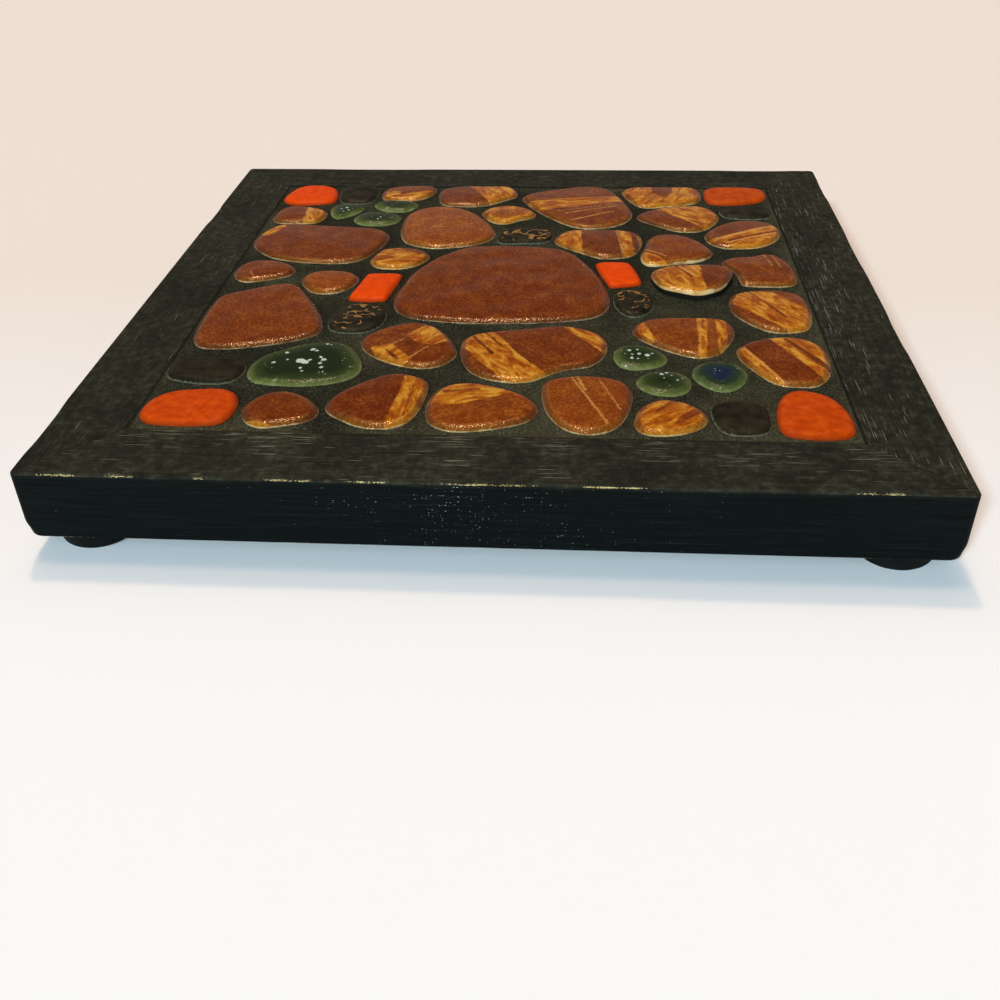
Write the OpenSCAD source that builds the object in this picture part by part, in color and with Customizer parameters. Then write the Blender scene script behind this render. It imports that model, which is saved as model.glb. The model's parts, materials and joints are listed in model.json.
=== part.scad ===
// Square trivet: a mitred wooden frame holds a panel, and glazed stoneware pebbles are laid in grout
// on the panel. The origin is on the floor under the middle, Z is up and the front is at -Y.

/* [Frame] */
// Outside width of the square frame
frame_w = 230; // [190:1:300]
// Height of a rail
rail_h = 19; // [17:0.5:26]
// Width of a rail's top face
rail_w = 21.5; // [18:0.5:30]
// Width of the ledge that carries the panel
ledge_w = 8; // [6:0.5:12]
// Height of the ledge
ledge_h = 8; // [7:0.5:9.5]
// Radius of the frame's four upright corners
corner_r = 3; // [1:0.25:5]
// Radius of the lower outside edge
lower_edge_r = 0.5; // [0.25:0.25:4]
// Radius of the upper outside edge
upper_edge_r = 0.8; // [0.3:0.1:2]

/* [Panel and grout] */
// Thickness of the plywood panel
panel_t = 6; // [5:0.5:7]
// Gap between the panel's edge and the rails
panel_gap = 0.25; // [0.1:0.05:0.5]
// Depth of the grout's surface below the frame's top
grout_drop = 0.5; // [0.2:0.1:1]
// Gap between a pebble and its pocket in the grout
pocket_gap = 0.05; // [0.02:0.01:0.1]

/* [Pebbles] */
// Width of the bare rim round a pebble's glaze
rim_w = 0.5; // [0.2:0.1:0.8]
// Height of a pebble's top above the frame's top
crown_rise = 1.4; // [0.8:0.1:2.5]
// Radius of a pebble's rounded upper edge
shoulder_r = 1.5; // [0.8:0.1:2]
// Extra height of the one thick pebble
thick_pebble_lift = 1.6; // [0:0.1:3]

/* [Feet] */
// Diameter of a rubber foot
foot_d = 20; // [16:0.5:24]
// Height of a foot
foot_h = 6; // [5.5:0.25:10]
// Distance from the frame's outside to a foot's middle
foot_inset = 13; // [12:0.5:16]
// Radius of a foot's lower edge
foot_edge_r = 1; // [0.3:0.1:2]
// Diameter of the recess for the screw's head
foot_recess_d = 10; // [9.5:0.25:12]
// Thickness of rubber under the washer
foot_web = 2; // [1.5:0.1:2.5]

/* [Fasteners] */
// Diameter of a foot screw's shank
screw_d = 3.5; // [2.5:0.1:4]
// Length of the screw under its head
screw_l = 16; // [12:0.5:17]
// Length of the screw's point
screw_point_l = 3; // [2:0.25:4]
// Diameter of the screw's head
screw_head_d = 7; // [6:0.1:8]
// Height of the screw's head
screw_head_h = 2.2; // [1.5:0.1:2.2]
// Width of the slot in the head
screw_slot_w = 1; // [0.6:0.1:1.4]
// Depth of the slot in the head
screw_slot_depth = 1.1; // [0.5:0.1:1.4]
// Outside diameter of the washer
washer_d = 9; // [8:0.1:9.4]
// Thickness of the washer
washer_t = 0.8; // [0.5:0.1:0.9]
// Gap round a screw in the foot and the washer
screw_gap = 0.25; // [0.1:0.05:0.4]
// Diameter of the brads across each mitre
brad_d = 1.4; // [1:0.1:2]
// Length of a brad
brad_l = 25; // [18:0.5:28]
// Depth of a brad's head below the rail's side
brad_sink = 1; // [0.5:0.1:2]
// Distance from a rail's outside to the brads driven along it
brad_inset = 7; // [6:0.25:8]
// Height of the lower brad above the rail's underside
lower_brad_z = 5; // [4:0.5:7]
// Height of the upper brad above the rail's underside
upper_brad_z = 14; // [12:0.5:14]
// Diameter of a panel pin's shank
pin_d = 1.2; // [0.8:0.1:1.6]
// Length of a panel pin
pin_l = 12; // [10:0.5:12.5]
// Diameter of a panel pin's head
pin_head_d = 2.2; // [1.8:0.1:3]
// Thickness of a panel pin's head
pin_head_t = 0.6; // [0.4:0.1:1]
// Distance between the pins on one side
pin_pitch = 62; // [40:1:70]
// Number of pins on each side of the panel
pins_per_side = 3; // [2:1:3]
// Gap round a brad or a pin in the wood
nail_gap = 0.05; // [0.02:0.01:0.1]

/* [Hidden] */
$fn = 48;
overrun = 1;
quarter_turn = 90;

// Levels, from the floor up
rail_z = foot_h;
ledge_top_z = rail_z + ledge_h;
panel_top_z = ledge_top_z + panel_t;
frame_top_z = rail_z + rail_h;
grout_top_z = frame_top_z - grout_drop;
crown_z = frame_top_z + crown_rise;
washer_top_z = foot_h - foot_web;
head_seat_z = washer_top_z - washer_t;

// Plan sizes
half_w = frame_w / 2;
mosaic_w = frame_w - 2 * rail_w;
foot_at = half_w - foot_inset;
brad_at = half_w - brad_inset;
pin_at = (mosaic_w - ledge_w) / 2;

// A pebble's outline is a smooth closed curve, with this many steps between two of its points
CURVE_STEPS = 2;
// A pebble's rounded upper edge is a quarter circle, drawn at these angles
SHOULDER_ANGLES = [0, 45, 90];

// Colours
STAINED_WOOD = "#2d2a25";
PLYWOOD = "#b58d5c";
GROUT = "#45453d";
RUBBER = "#191919";
STEEL = "#9a9c9e";
ORANGE = "#e2521c";
RUSSET = "#7f4526";
HONEY = "#96582c";
TAN = "#b8742f";
GREEN = "#4b5c36";
BLUE_GREEN = "#3b5052";
BLACK = "#2b2a26";

// Pebbles: node name, colour, share of the thick pebble's lift, and the points of the glaze's outline as
// shares of the mosaic's width, anticlockwise from the front. Two neighbours with one name share a node.
pebble_shares = [
    ["orange_pebble_back_left", ORANGE, 0, [
        [-.470, .386], [-.430, .384], [-.393, .392], [-.383, .412], [-.389, .455], [-.402, .480],
        [-.430, .491], [-.458, .489], [-.478, .470], [-.489, .415]]],
    ["black_pebble_back_left", BLACK, 0, [
        [-.358, .392], [-.320, .392], [-.305, .410], [-.301, .450], [-.305, .480], [-.325, .490],
        [-.360, .488], [-.377, .478], [-.377, .440], [-.370, .405]]],
    ["russet_pebble_back_left", RUSSET, 0, [
        [-.280, .416], [-.250, .413], [-.213, .417], [-.188, .445], [-.183, .472], [-.195, .489],
        [-.240, .490], [-.278, .478], [-.290, .450]]],
    ["half_tan_pebble_back", RUSSET, 0, [
        [-.145, .383], [-.100, .380], [-.066, .390], [-.040, .412], [-.017, .432], [-.014, .455],
        [-.022, .480], [-.045, .491], [-.115, .491], [-.155, .481], [-.171, .463], [-.169, .425],
        [-.160, .394]]],
    ["banded_pebble_back", HONEY, 0, [
        [.118, .266], [.145, .264], [.178, .273], [.205, .298], [.217, .330], [.215, .365], [.205, .405],
        [.191, .445], [.174, .475], [.150, .490], [.110, .490], [.065, .473], [.020, .452], [.003, .430],
        [.010, .400], [.040, .347], [.085, .290]]],
    ["tan_pebble_back_right", TAN, 0, [
        [.255, .378], [.290, .387], [.330, .397], [.352, .413], [.360, .440], [.358, .472], [.343, .488],
        [.300, .491], [.245, .490], [.216, .483], [.205, .462], [.213, .430], [.232, .390]]],
    ["orange_pebble_back_right", ORANGE, 0, [
        [.385, .398], [.420, .396], [.455, .405], [.480, .420], [.490, .445], [.489, .472], [.475, .487],
        [.430, .492], [.390, .489], [.373, .475], [.370, .440], [.373, .410]]],
    ["half_tan_pebble_left_back", RUSSET, 0, [
        [-.468, .281], [-.430, .280], [-.400, .283], [-.388, .303], [-.385, .325], [-.394, .345],
        [-.425, .362], [-.460, .366], [-.480, .350], [-.486, .318], [-.482, .293]]],
    ["small_green_pebbles", GREEN, 0, [
        [-.358, .308], [-.337, .322], [-.321, .345], [-.318, .364], [-.332, .377], [-.358, .378],
        [-.377, .368], [-.378, .345], [-.371, .320]]],
    ["small_green_pebbles", GREEN, 0, [
        [-.262, .347], [-.232, .347], [-.216, .362], [-.211, .384], [-.225, .398], [-.250, .402],
        [-.276, .401], [-.291, .391], [-.294, .376], [-.281, .358]]],
    ["small_green_pebbles", GREEN, 0, [
        [-.300, .273], [-.265, .272], [-.244, .283], [-.235, .303], [-.241, .321], [-.265, .331],
        [-.290, .335], [-.311, .329], [-.322, .313], [-.320, .290]]],
    ["honey_pebble_back_left", HONEY, 0, [
        [-.160, .160], [-.120, .163], [-.078, .176], [-.053, .198], [-.044, .222], [-.048, .250],
        [-.063, .288], [-.086, .328], [-.115, .356], [-.148, .369], [-.180, .366], [-.206, .348],
        [-.221, .318], [-.223, .265], [-.218, .220], [-.202, .182]]],
    ["tan_pebble_back_middle", TAN, 0, [
        [-.035, .285], [-.017, .290], [.002, .306], [.022, .315], [.029, .333], [.020, .354], [.000, .370],
        [-.025, .376], [-.052, .370], [-.069, .352], [-.072, .330], [-.055, .298]]],
    ["half_tan_pebble_right_back", TAN, 0, [
        [.330, .250], [.352, .260], [.370, .283], [.382, .310], [.384, .335], [.373, .362], [.350, .379],
        [.310, .377], [.270, .363], [.238, .340], [.231, .318], [.245, .298], [.280, .268], [.305, .252]]],
    ["black_pebble_right_back", BLACK, 0, [
        [.410, .322], [.445, .319], [.478, .324], [.489, .345], [.487, .367], [.470, .380], [.430, .382],
        [.402, .377], [.393, .360], [.394, .338]]],
    ["striped_pebble_right_back", TAN, 0, [
        [.385, .170], [.410, .170], [.440, .175], [.470, .197], [.487, .228], [.491, .260], [.480, .287],
        [.455, .301], [.425, .302], [.393, .286], [.367, .258], [.353, .225], [.360, .190]]],
    ["russet_pebble_left_back", RUSSET, 0, [
        [-.385, .088], [-.345, .084], [-.305, .085], [-.278, .100], [-.261, .127], [-.249, .165],
        [-.243, .203], [-.253, .232], [-.285, .248], [-.350, .257], [-.410, .265], [-.450, .266],
        [-.475, .250], [-.489, .210], [-.491, .178], [-.478, .145], [-.445, .110], [-.415, .096]]],
    ["marked_black_pebble_back", BLACK, 0, [
        [-.025, .184], [.015, .185], [.048, .188], [.064, .205], [.067, .228], [.058, .246], [.030, .256],
        [-.005, .258], [-.026, .248], [-.033, .225], [-.034, .200]]],
    ["striped_pebble_back_middle", TAN, 0, [
        [.155, .119], [.185, .119], [.210, .130], [.223, .152], [.231, .190], [.229, .220], [.215, .240],
        [.180, .248], [.120, .248], [.092, .238], [.077, .215], [.074, .190], [.092, .166], [.125, .140]]],
    ["russet_pebble_right_middle", RUSSET, 0, [
        [.250, .085], [.290, .094], [.328, .107], [.350, .127], [.356, .148], [.350, .170], [.337, .195],
        [.315, .217], [.290, .228], [.262, .224], [.246, .204], [.241, .175], [.232, .140], [.230, .110],
        [.236, .091]]],
    ["ochre_pebble_left_middle", TAN, 0, [
        [-.235, .064], [-.205, .061], [-.178, .073], [-.162, .092], [-.155, .115], [-.166, .136],
        [-.190, .149], [-.218, .151], [-.240, .142], [-.251, .122], [-.256, .095], [-.249, .076]]],
    ["russet_pebble_left_middle", RUSSET, 0, [
        [-.450, -.001], [-.420, .010], [-.395, .024], [-.387, .042], [-.395, .063], [-.415, .080],
        [-.445, .088], [-.470, .083], [-.486, .064], [-.490, .038], [-.482, .012], [-.468, .000]]],
    ["small_russet_pebble_left", RUSSET, 0, [
        [-.315, -.048], [-.293, -.042], [-.275, -.022], [-.267, .005], [-.272, .025], [-.290, .039],
        [-.320, .043], [-.345, .038], [-.361, .020], [-.360, -.005], [-.347, -.028], [-.333, -.043]]],
    ["orange_chips", ORANGE, 0, [
        [-.260, -.074], [-.235, -.077], [-.212, -.075], [-.204, -.066], [-.198, -.020], [-.192, .024],
        [-.199, .032], [-.225, .034], [-.246, .032], [-.253, .023], [-.260, -.020], [-.267, -.062]]],
    ["orange_chips", ORANGE, 0, [
        [.174, -.009], [.195, -.006], [.217, .001], [.223, .012], [.217, .048], [.208, .083], [.198, .092],
        [.172, .094], [.153, .090], [.149, .078], [.158, .040], [.168, .002]]],
    ["centre_pebble", RUSSET, 0, [
        [-.125, -.146], [-.060, -.154], [.020, -.152], [.090, -.144], [.140, -.129], [.162, -.100],
        [.167, -.060], [.158, .000], [.140, .060], [.112, .120], [.080, .152], [.020, .164], [-.050, .165],
        [-.090, .154], [-.135, .110], [-.168, .047], [-.181, -.010], [-.189, -.060], [-.181, -.108],
        [-.158, -.134]]],
    ["thick_pebble_right", TAN, 1, [
        [.262, -.030], [.285, -.042], [.312, -.053], [.335, -.045], [.355, -.028], [.367, -.004],
        [.376, .022], [.378, .042], [.369, .058], [.345, .066], [.310, .063], [.272, .056], [.250, .040],
        [.244, .020], [.250, -.008]]],
    ["russet_pebble_right_edge", RUSSET, 0, [
        [.402, .004], [.440, .001], [.475, .005], [.487, .022], [.491, .050], [.489, .085], [.480, .112],
        [.465, .132], [.445, .134], [.425, .125], [.395, .120], [.376, .108], [.373, .090], [.388, .062],
        [.394, .037], [.395, .016]]],
    ["marbled_pebble_right", TAN, 0, [
        [.430, -.174], [.460, -.171], [.478, -.158], [.487, -.130], [.491, -.090], [.489, -.055],
        [.477, -.032], [.445, -.023], [.405, -.025], [.379, -.037], [.368, -.065], [.367, -.095],
        [.376, -.122], [.393, -.147], [.410, -.165]]],
    ["large_russet_pebble_left", RUSSET, 0, [
        [-.440, -.257], [-.395, -.250], [-.345, -.234], [-.305, -.212], [-.292, -.188], [-.301, -.145],
        [-.325, -.093], [-.348, -.050], [-.366, -.022], [-.390, -.014], [-.425, -.029], [-.455, -.047],
        [-.480, -.061], [-.491, -.090], [-.491, -.170], [-.486, -.220], [-.470, -.250]]],
    ["marked_black_pebble_left", BLACK, 0, [
        [-.250, -.196], [-.222, -.194], [-.205, -.180], [-.197, -.160], [-.196, -.130], [-.206, -.104],
        [-.228, -.094], [-.253, -.095], [-.272, -.108], [-.280, -.135], [-.282, -.165], [-.273, -.188]]],
    ["marked_black_pebble_right", BLACK, 0, [
        [.208, -.125], [.225, -.116], [.237, -.094], [.240, -.070], [.235, -.047], [.224, -.033],
        [.202, -.026], [.187, -.030], [.178, -.048], [.179, -.080], [.186, -.105], [.196, -.121]]],
    ["striped_pebble_right_front", TAN, 0, [
        [.300, -.263], [.328, -.252], [.342, -.230], [.354, -.203], [.360, -.175], [.357, -.150],
        [.343, -.135], [.305, -.131], [.255, -.134], [.225, -.143], [.210, -.162], [.206, -.185],
        [.217, -.206], [.241, -.230], [.270, -.251]]],
    ["black_pebble_left_front", BLACK, 0, [
        [-.420, -.369], [-.394, -.364], [-.382, -.348], [-.379, -.325], [-.388, -.304], [-.412, -.293],
        [-.450, -.291], [-.478, -.298], [-.490, -.315], [-.491, -.338], [-.480, -.356], [-.450, -.365]]],
    ["large_green_pebble", GREEN, 0, [
        [-.340, -.366], [-.290, -.370], [-.245, -.362], [-.216, -.345], [-.206, -.322], [-.211, -.292],
        [-.226, -.260], [-.242, -.241], [-.265, -.234], [-.300, -.241], [-.335, -.263], [-.359, -.285],
        [-.370, -.312], [-.368, -.342], [-.357, -.358]]],
    ["patched_pebble_front", RUSSET, 0, [
        [-.150, -.301], [-.115, -.310], [-.088, -.301], [-.072, -.280], [-.068, -.258], [-.077, -.230],
        [-.092, -.200], [-.110, -.176], [-.135, -.163], [-.158, -.165], [-.190, -.184], [-.212, -.207],
        [-.217, -.230], [-.206, -.258], [-.185, -.280]]],
    ["banded_pebble_front", RUSSET, 0, [
        [.020, -.348], [.050, -.344], [.072, -.327], [.100, -.308], [.133, -.297], [.153, -.272],
        [.161, -.240], [.158, -.210], [.144, -.188], [.115, -.172], [.085, -.168], [.030, -.180],
        [-.030, -.195], [-.054, -.212], [-.059, -.240], [-.055, -.280], [-.039, -.318], [-.015, -.339]]],
    ["small_green_pebble_right", GREEN, 0, [
        [.200, -.303], [.225, -.299], [.243, -.288], [.250, -.272], [.243, -.252], [.227, -.238],
        [.205, -.230], [.186, -.234], [.176, -.250], [.175, -.273], [.183, -.294]]],
    ["green_pebble_right_front", GREEN, 0, [
        [.235, -.379], [.258, -.379], [.273, -.369], [.280, -.350], [.277, -.330], [.265, -.317],
        [.245, -.314], [.223, -.319], [.209, -.333], [.206, -.350], [.216, -.368]]],
    ["blue_green_pebble_right", BLUE_GREEN, 0, [
        [.328, -.366], [.345, -.357], [.358, -.338], [.363, -.314], [.358, -.296], [.344, -.284],
        [.320, -.281], [.301, -.288], [.290, -.305], [.289, -.328], [.299, -.348], [.312, -.361]]],
    ["striped_pebble_right_corner", TAN, 0, [
        [.425, -.348], [.455, -.347], [.474, -.330], [.486, -.302], [.490, -.260], [.487, -.228],
        [.468, -.204], [.435, -.196], [.400, -.204], [.374, -.220], [.360, -.243], [.364, -.272],
        [.377, -.300], [.394, -.329], [.407, -.342]]],
    ["orange_pebble_front_left", ORANGE, 0, [
        [-.440, -.487], [-.395, -.486], [-.371, -.477], [-.363, -.452], [-.364, -.425], [-.376, -.398],
        [-.398, -.388], [-.430, -.390], [-.462, -.397], [-.483, -.415], [-.491, -.438], [-.489, -.465],
        [-.473, -.482]]],
    ["russet_pebble_front_left", RUSSET, 0, [
        [-.310, -.488], [-.285, -.482], [-.260, -.473], [-.246, -.460], [-.245, -.440], [-.257, -.419],
        [-.275, -.402], [-.300, -.392], [-.325, -.399], [-.343, -.420], [-.349, -.445], [-.341, -.468],
        [-.327, -.483]]],
    ["half_tan_pebble_front", RUSSET, 0, [
        [-.175, -.482], [-.140, -.484], [-.115, -.466], [-.104, -.435], [-.099, -.395], [-.099, -.363],
        [-.111, -.345], [-.140, -.334], [-.165, -.339], [-.195, -.362], [-.222, -.394], [-.233, -.425],
        [-.225, -.448], [-.200, -.468]]],
    ["swirled_pebble_front", TAN, 0, [
        [-.055, -.487], [-.020, -.486], [.025, -.473], [.053, -.455], [.062, -.430], [.055, -.406],
        [.035, -.386], [.000, -.368], [-.035, -.358], [-.062, -.363], [-.079, -.379], [-.088, -.405],
        [-.090, -.438], [-.081, -.470]]],
    ["lined_pebble_front", TAN, 0, [
        [.135, -.489], [.160, -.481], [.177, -.461], [.188, -.430], [.194, -.395], [.192, -.363],
        [.178, -.343], [.150, -.333], [.110, -.333], [.080, -.344], [.070, -.362], [.071, -.395],
        [.078, -.432], [.091, -.462], [.110, -.482]]],
    ["ochre_pebble_front", TAN, 0, [
        [.225, -.489], [.255, -.485], [.280, -.472], [.294, -.452], [.292, -.430], [.275, -.409],
        [.250, -.398], [.228, -.401], [.211, -.417], [.202, -.440], [.199, -.463], [.206, -.482]]],
    ["black_pebble_front_right", BLACK, 0, [
        [.325, -.484], [.362, -.483], [.377, -.468], [.380, -.435], [.377, -.412], [.358, -.400],
        [.325, -.400], [.308, -.412], [.305, -.435], [.310, -.465]]],
    ["orange_pebble_front_right", ORANGE, 0, [
        [.410, -.488], [.440, -.491], [.472, -.488], [.487, -.474], [.490, -.443], [.485, -.410],
        [.470, -.380], [.440, -.365], [.418, -.370], [.403, -.392], [.395, -.425], [.392, -.460],
        [.397, -.480]]],
];

// Every pebble node once, in the table's order
PEBBLE_NODES = [
    for (i = [0 : len(pebble_shares) - 1])
        if (i == 0 || pebble_shares[i][0] != pebble_shares[i - 1][0]) pebble_shares[i][0]
];

FRAME_NODES = ["front_rail", "right_rail", "back_rail", "left_rail", "base_panel", "grout"];
FOOT_NODES = ["foot_front_left", "foot_front_right", "foot_back_right", "foot_back_left"];
FASTENER_NODES = ["foot_screws", "foot_washers", "mitre_brads", "panel_pins"];

// A point on the smooth curve between points b and c, where a and d are the points before and after them
function between(a, b, c, d, t) =
    b + t / 2 * (c - a + t * (2 * a - 5 * b + 4 * c - d + t * (3 * (b - c) + d - a)));

// A smooth closed curve through the given points
function closed_curve(points) =
    let (count = len(points))
    [for (i = [0 : count - 1], step = [0 : CURVE_STEPS - 1])
        between(
            points[(i + count - 1) % count],
            points[i],
            points[(i + 1) % count],
            points[(i + 2) % count],
            step / CURVE_STEPS)];

// The middle of a list of points
function middle(points) =
    let (count = len(points))
    [for (point = points) 1 / count] * points;

// The points drawn in towards their middle by one distance
function drawn_in(points, distance) =
    let (centre = middle(points))
    [for (point = points) point - distance * (point - centre) / norm(point - centre)];

// The real outline of a pebble: the glaze's outline with the bare rim round it
function pebble_outline(shares) = drawn_in(mosaic_w * closed_curve(shares), -rim_w);

// A closed solid through rings of equal length, from the lowest ring to the highest
module stacked_rings(rings) {
    count = len(rings[0]);
    levels = len(rings);
    points = [for (ring = rings) each ring];
    bottom = [for (i = [0 : count - 1]) i];
    top = [for (i = [count - 1 : -1 : 0]) (levels - 1) * count + i];
    sides = [
        for (level = [0 : levels - 2], i = [0 : count - 1])
            let (next = (i + 1) % count, low = level * count, high = low + count)
            each [[low + i, high + i, high + next], [low + i, high + next, low + next]]
    ];
    polyhedron(points, concat([bottom, top], sides));
}

// What a rounded corner loses: the square corner at the origin, outside a circle that touches both sides
module corner_waste(r) {
    difference() {
        translate([-overrun, -overrun]) square(r + overrun);
        translate([r, r]) circle(r);
    }
}

// A rail's section, with its outside to the right: a ledge below and a rounded outside
module rail_section() {
    inside = mosaic_w / 2;
    difference() {
        polygon([
            [inside - ledge_w, 0], [half_w, 0], [half_w, rail_h], [inside, rail_h], [inside, ledge_h],
            [inside - ledge_w, ledge_h]
        ]);
        translate([half_w, 0]) rotate(quarter_turn) corner_waste(lower_edge_r);
        translate([half_w, rail_h]) rotate(2 * quarter_turn) corner_waste(upper_edge_r);
    }
}

// A straight rail along the +Y side, cut to 45 degrees at both ends and rounded at its upright corners
module mitred_length() {
    difference() {
        intersection() {
            translate([-half_w, 0, 0]) rotate([quarter_turn, 0, quarter_turn])
                linear_extrude(frame_w) rail_section();
            translate([0, 0, -overrun]) linear_extrude(rail_h + 2 * overrun)
                polygon([[0, 0], [frame_w, frame_w], [-frame_w, frame_w]]);
        }
        for (side = [0, 1])
            mirror([side, 0, 0]) translate([half_w, half_w, -overrun]) rotate(2 * quarter_turn)
                linear_extrude(rail_h + 2 * overrun) corner_waste(corner_r);
    }
}

// One rail, turned from the +Y side by quarter turns, with the holes of its screws, brads and pins
module rail(turns) {
    color(STAINED_WOOD) difference() {
        translate([0, 0, rail_z]) rotate(turns * quarter_turn) mitred_length();
        at_feet() translate([0, 0, head_seat_z]) screw_shank(nail_gap);
        at_brads() brad(nail_gap);
        at_pins() pin(nail_gap);
    }
}

// Places its children at the middle of each foot
module at_feet() {
    for (x = [-1, 1], y = [-1, 1]) translate([x * foot_at, y * foot_at, 0]) children();
}

// Places its children at each brad's head, pointing up where the brad runs into the frame
module at_brads() {
    for (turn = [0, 2], y = [-1, 1], z = [lower_brad_z, upper_brad_z])
        rotate(turn * quarter_turn) translate([half_w - brad_sink, y * brad_at, rail_z + z])
            rotate([0, -quarter_turn, 0]) children();
}

// Places its children at the middle of each pin's head, pointing down
module at_pins() {
    for (turn = [0 : 3], i = [0 : pins_per_side - 1])
        rotate(turn * quarter_turn) translate([(i - (pins_per_side - 1) / 2) * pin_pitch, pin_at, panel_top_z])
            rotate([2 * quarter_turn, 0, 0]) children();
}

// A screw's shank and point above its head, with a gap all round where it cuts a hole
module screw_shank(gap) {
    r = screw_d / 2 + gap;
    rotate_extrude() polygon([[0, 0], [r, 0], [r, screw_l - screw_point_l], [0, screw_l + gap]]);
}

// A plain pointed brad
module brad(gap) {
    r = brad_d / 2 + gap;
    rotate_extrude() polygon([[0, 0], [r, 0], [r, brad_l - brad_d], [0, brad_l + gap]]);
}

// A pin with a flat head
module pin(gap) {
    r = pin_d / 2 + gap;
    head_r = pin_head_d / 2 + gap;
    rotate_extrude() polygon([
        [0, 0], [head_r, 0], [head_r, pin_head_t], [r, pin_head_t], [r, pin_l - pin_d], [0, pin_l + gap]
    ]);
}

module base_panel() {
    color(PLYWOOD) difference() {
        translate([panel_gap - mosaic_w / 2, panel_gap - mosaic_w / 2, ledge_top_z])
            cube([mosaic_w - 2 * panel_gap, mosaic_w - 2 * panel_gap, panel_t]);
        at_pins() pin(nail_gap);
    }
}

// The grout fills the frame round the pebbles, each in its own pocket
module grout() {
    color(GROUT) translate([0, 0, panel_top_z]) linear_extrude(grout_top_z - panel_top_z) difference() {
        square(mosaic_w, center = true);
        for (row = pebble_shares) polygon(drawn_in(pebble_outline(row[3]), -pocket_gap));
    }
}

// A pebble stands on the panel: upright sides, a rounded shoulder and a flat top
module pebble(row) {
    outline = pebble_outline(row[3]);
    top_z = crown_z + row[2] * thick_pebble_lift;
    color(row[1]) stacked_rings(concat(
        [[for (point = outline) [point[0], point[1], panel_top_z]]],
        [for (angle = SHOULDER_ANGLES)
            let (ring = drawn_in(outline, shoulder_r * (1 - cos(angle))))
            [for (point = ring) [point[0], point[1], top_z - shoulder_r * (1 - sin(angle))]]]
    ));
}

// A rubber foot with a hole for its screw and a recess for the head and washer
module foot(x, y) {
    bore_r = screw_d / 2 + screw_gap;
    color(RUBBER) translate([x * foot_at, y * foot_at, 0]) rotate_extrude() difference() {
        translate([bore_r, 0]) square([foot_d / 2 - bore_r, foot_h]);
        translate([0, -overrun]) square([foot_recess_d / 2, washer_top_z + overrun]);
        translate([foot_d / 2, 0]) rotate(quarter_turn) corner_waste(foot_edge_r);
    }
}

// The screws that hold the feet: rounded slotted heads below, points up in the rails
module foot_screws() {
    color(STEEL) at_feet() translate([0, 0, head_seat_z]) difference() {
        union() {
            screw_shank(0);
            rotate_extrude() difference() {
                translate([0, -screw_head_h]) square([screw_head_d / 2, screw_head_h]);
                translate([screw_head_d / 2, -screw_head_h]) rotate(quarter_turn) corner_waste(screw_head_h / 2);
            }
        }
        translate([-screw_head_d, -screw_slot_w / 2, -screw_head_h - overrun])
            cube([2 * screw_head_d, screw_slot_w, screw_slot_depth + overrun]);
    }
}

module foot_washers() {
    hole_r = screw_d / 2 + screw_gap;
    color(STEEL) at_feet() translate([0, 0, head_seat_z]) rotate_extrude()
        translate([hole_r, 0]) square([washer_d / 2 - hole_r, washer_t]);
}

module mitre_brads() {
    color(STEEL) at_brads() brad(0);
}

module panel_pins() {
    color(STEEL) at_pins() pin(0);
}

rail(2);  // front_rail
rail(3);  // right_rail
rail(0);  // back_rail
rail(1);  // left_rail
base_panel();
grout();
foot(-1, -1);  // foot_front_left
foot(1, -1);  // foot_front_right
foot(1, 1);  // foot_back_right
foot(-1, 1);  // foot_back_left
foot_screws();
foot_washers();
mitre_brads();
panel_pins();
for (row = pebble_shares)
    pebble(row);
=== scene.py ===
# %% [markdown]
# A square trivet with a mosaic of glazed pebbles
#
# The trivet is a frame of four dark stained rails. It holds stoneware pebbles, glazed in brown, tan,
# orange, green and black, which are laid in a dark sandy grout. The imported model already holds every
# piece at its real size, so this script never moves or resizes anything. It gives each piece the surface
# that the eye looks for: the soft shoulder of a glazed pebble, the sag of grout between two of them, the
# worn edge of a stained rail. Lengths are written in millimetres, and MM turns them into Blender's metres.

# %% Load the frame
import json

import bpy
import numpy as np
from mathutils import Matrix, Vector


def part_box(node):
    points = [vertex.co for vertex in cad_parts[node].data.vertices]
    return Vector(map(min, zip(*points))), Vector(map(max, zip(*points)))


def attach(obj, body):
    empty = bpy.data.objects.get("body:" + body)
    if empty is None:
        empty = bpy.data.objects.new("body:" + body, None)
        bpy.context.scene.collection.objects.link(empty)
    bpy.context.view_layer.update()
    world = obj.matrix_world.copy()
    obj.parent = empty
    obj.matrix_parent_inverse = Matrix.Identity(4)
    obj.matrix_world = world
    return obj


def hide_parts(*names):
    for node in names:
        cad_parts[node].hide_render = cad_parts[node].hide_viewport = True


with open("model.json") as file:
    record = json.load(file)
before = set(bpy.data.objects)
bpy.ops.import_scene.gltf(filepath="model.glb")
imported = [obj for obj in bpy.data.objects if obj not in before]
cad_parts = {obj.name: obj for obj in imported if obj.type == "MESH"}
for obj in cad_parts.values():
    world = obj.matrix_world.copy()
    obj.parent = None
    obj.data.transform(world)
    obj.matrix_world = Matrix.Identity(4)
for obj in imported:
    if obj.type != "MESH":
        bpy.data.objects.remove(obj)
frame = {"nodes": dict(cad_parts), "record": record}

MM = 0.001
DEGREES = np.pi / 180
nodes = frame["nodes"]
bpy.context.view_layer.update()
slot_of_node = {part["node"]: part["material_slot"] for part in frame["record"]["subparts"]}

# %% [markdown]
# Sizes from the frame
#
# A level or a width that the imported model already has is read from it. If the model changes, the
# surfaces made here follow it, because nothing is typed twice.

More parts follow.
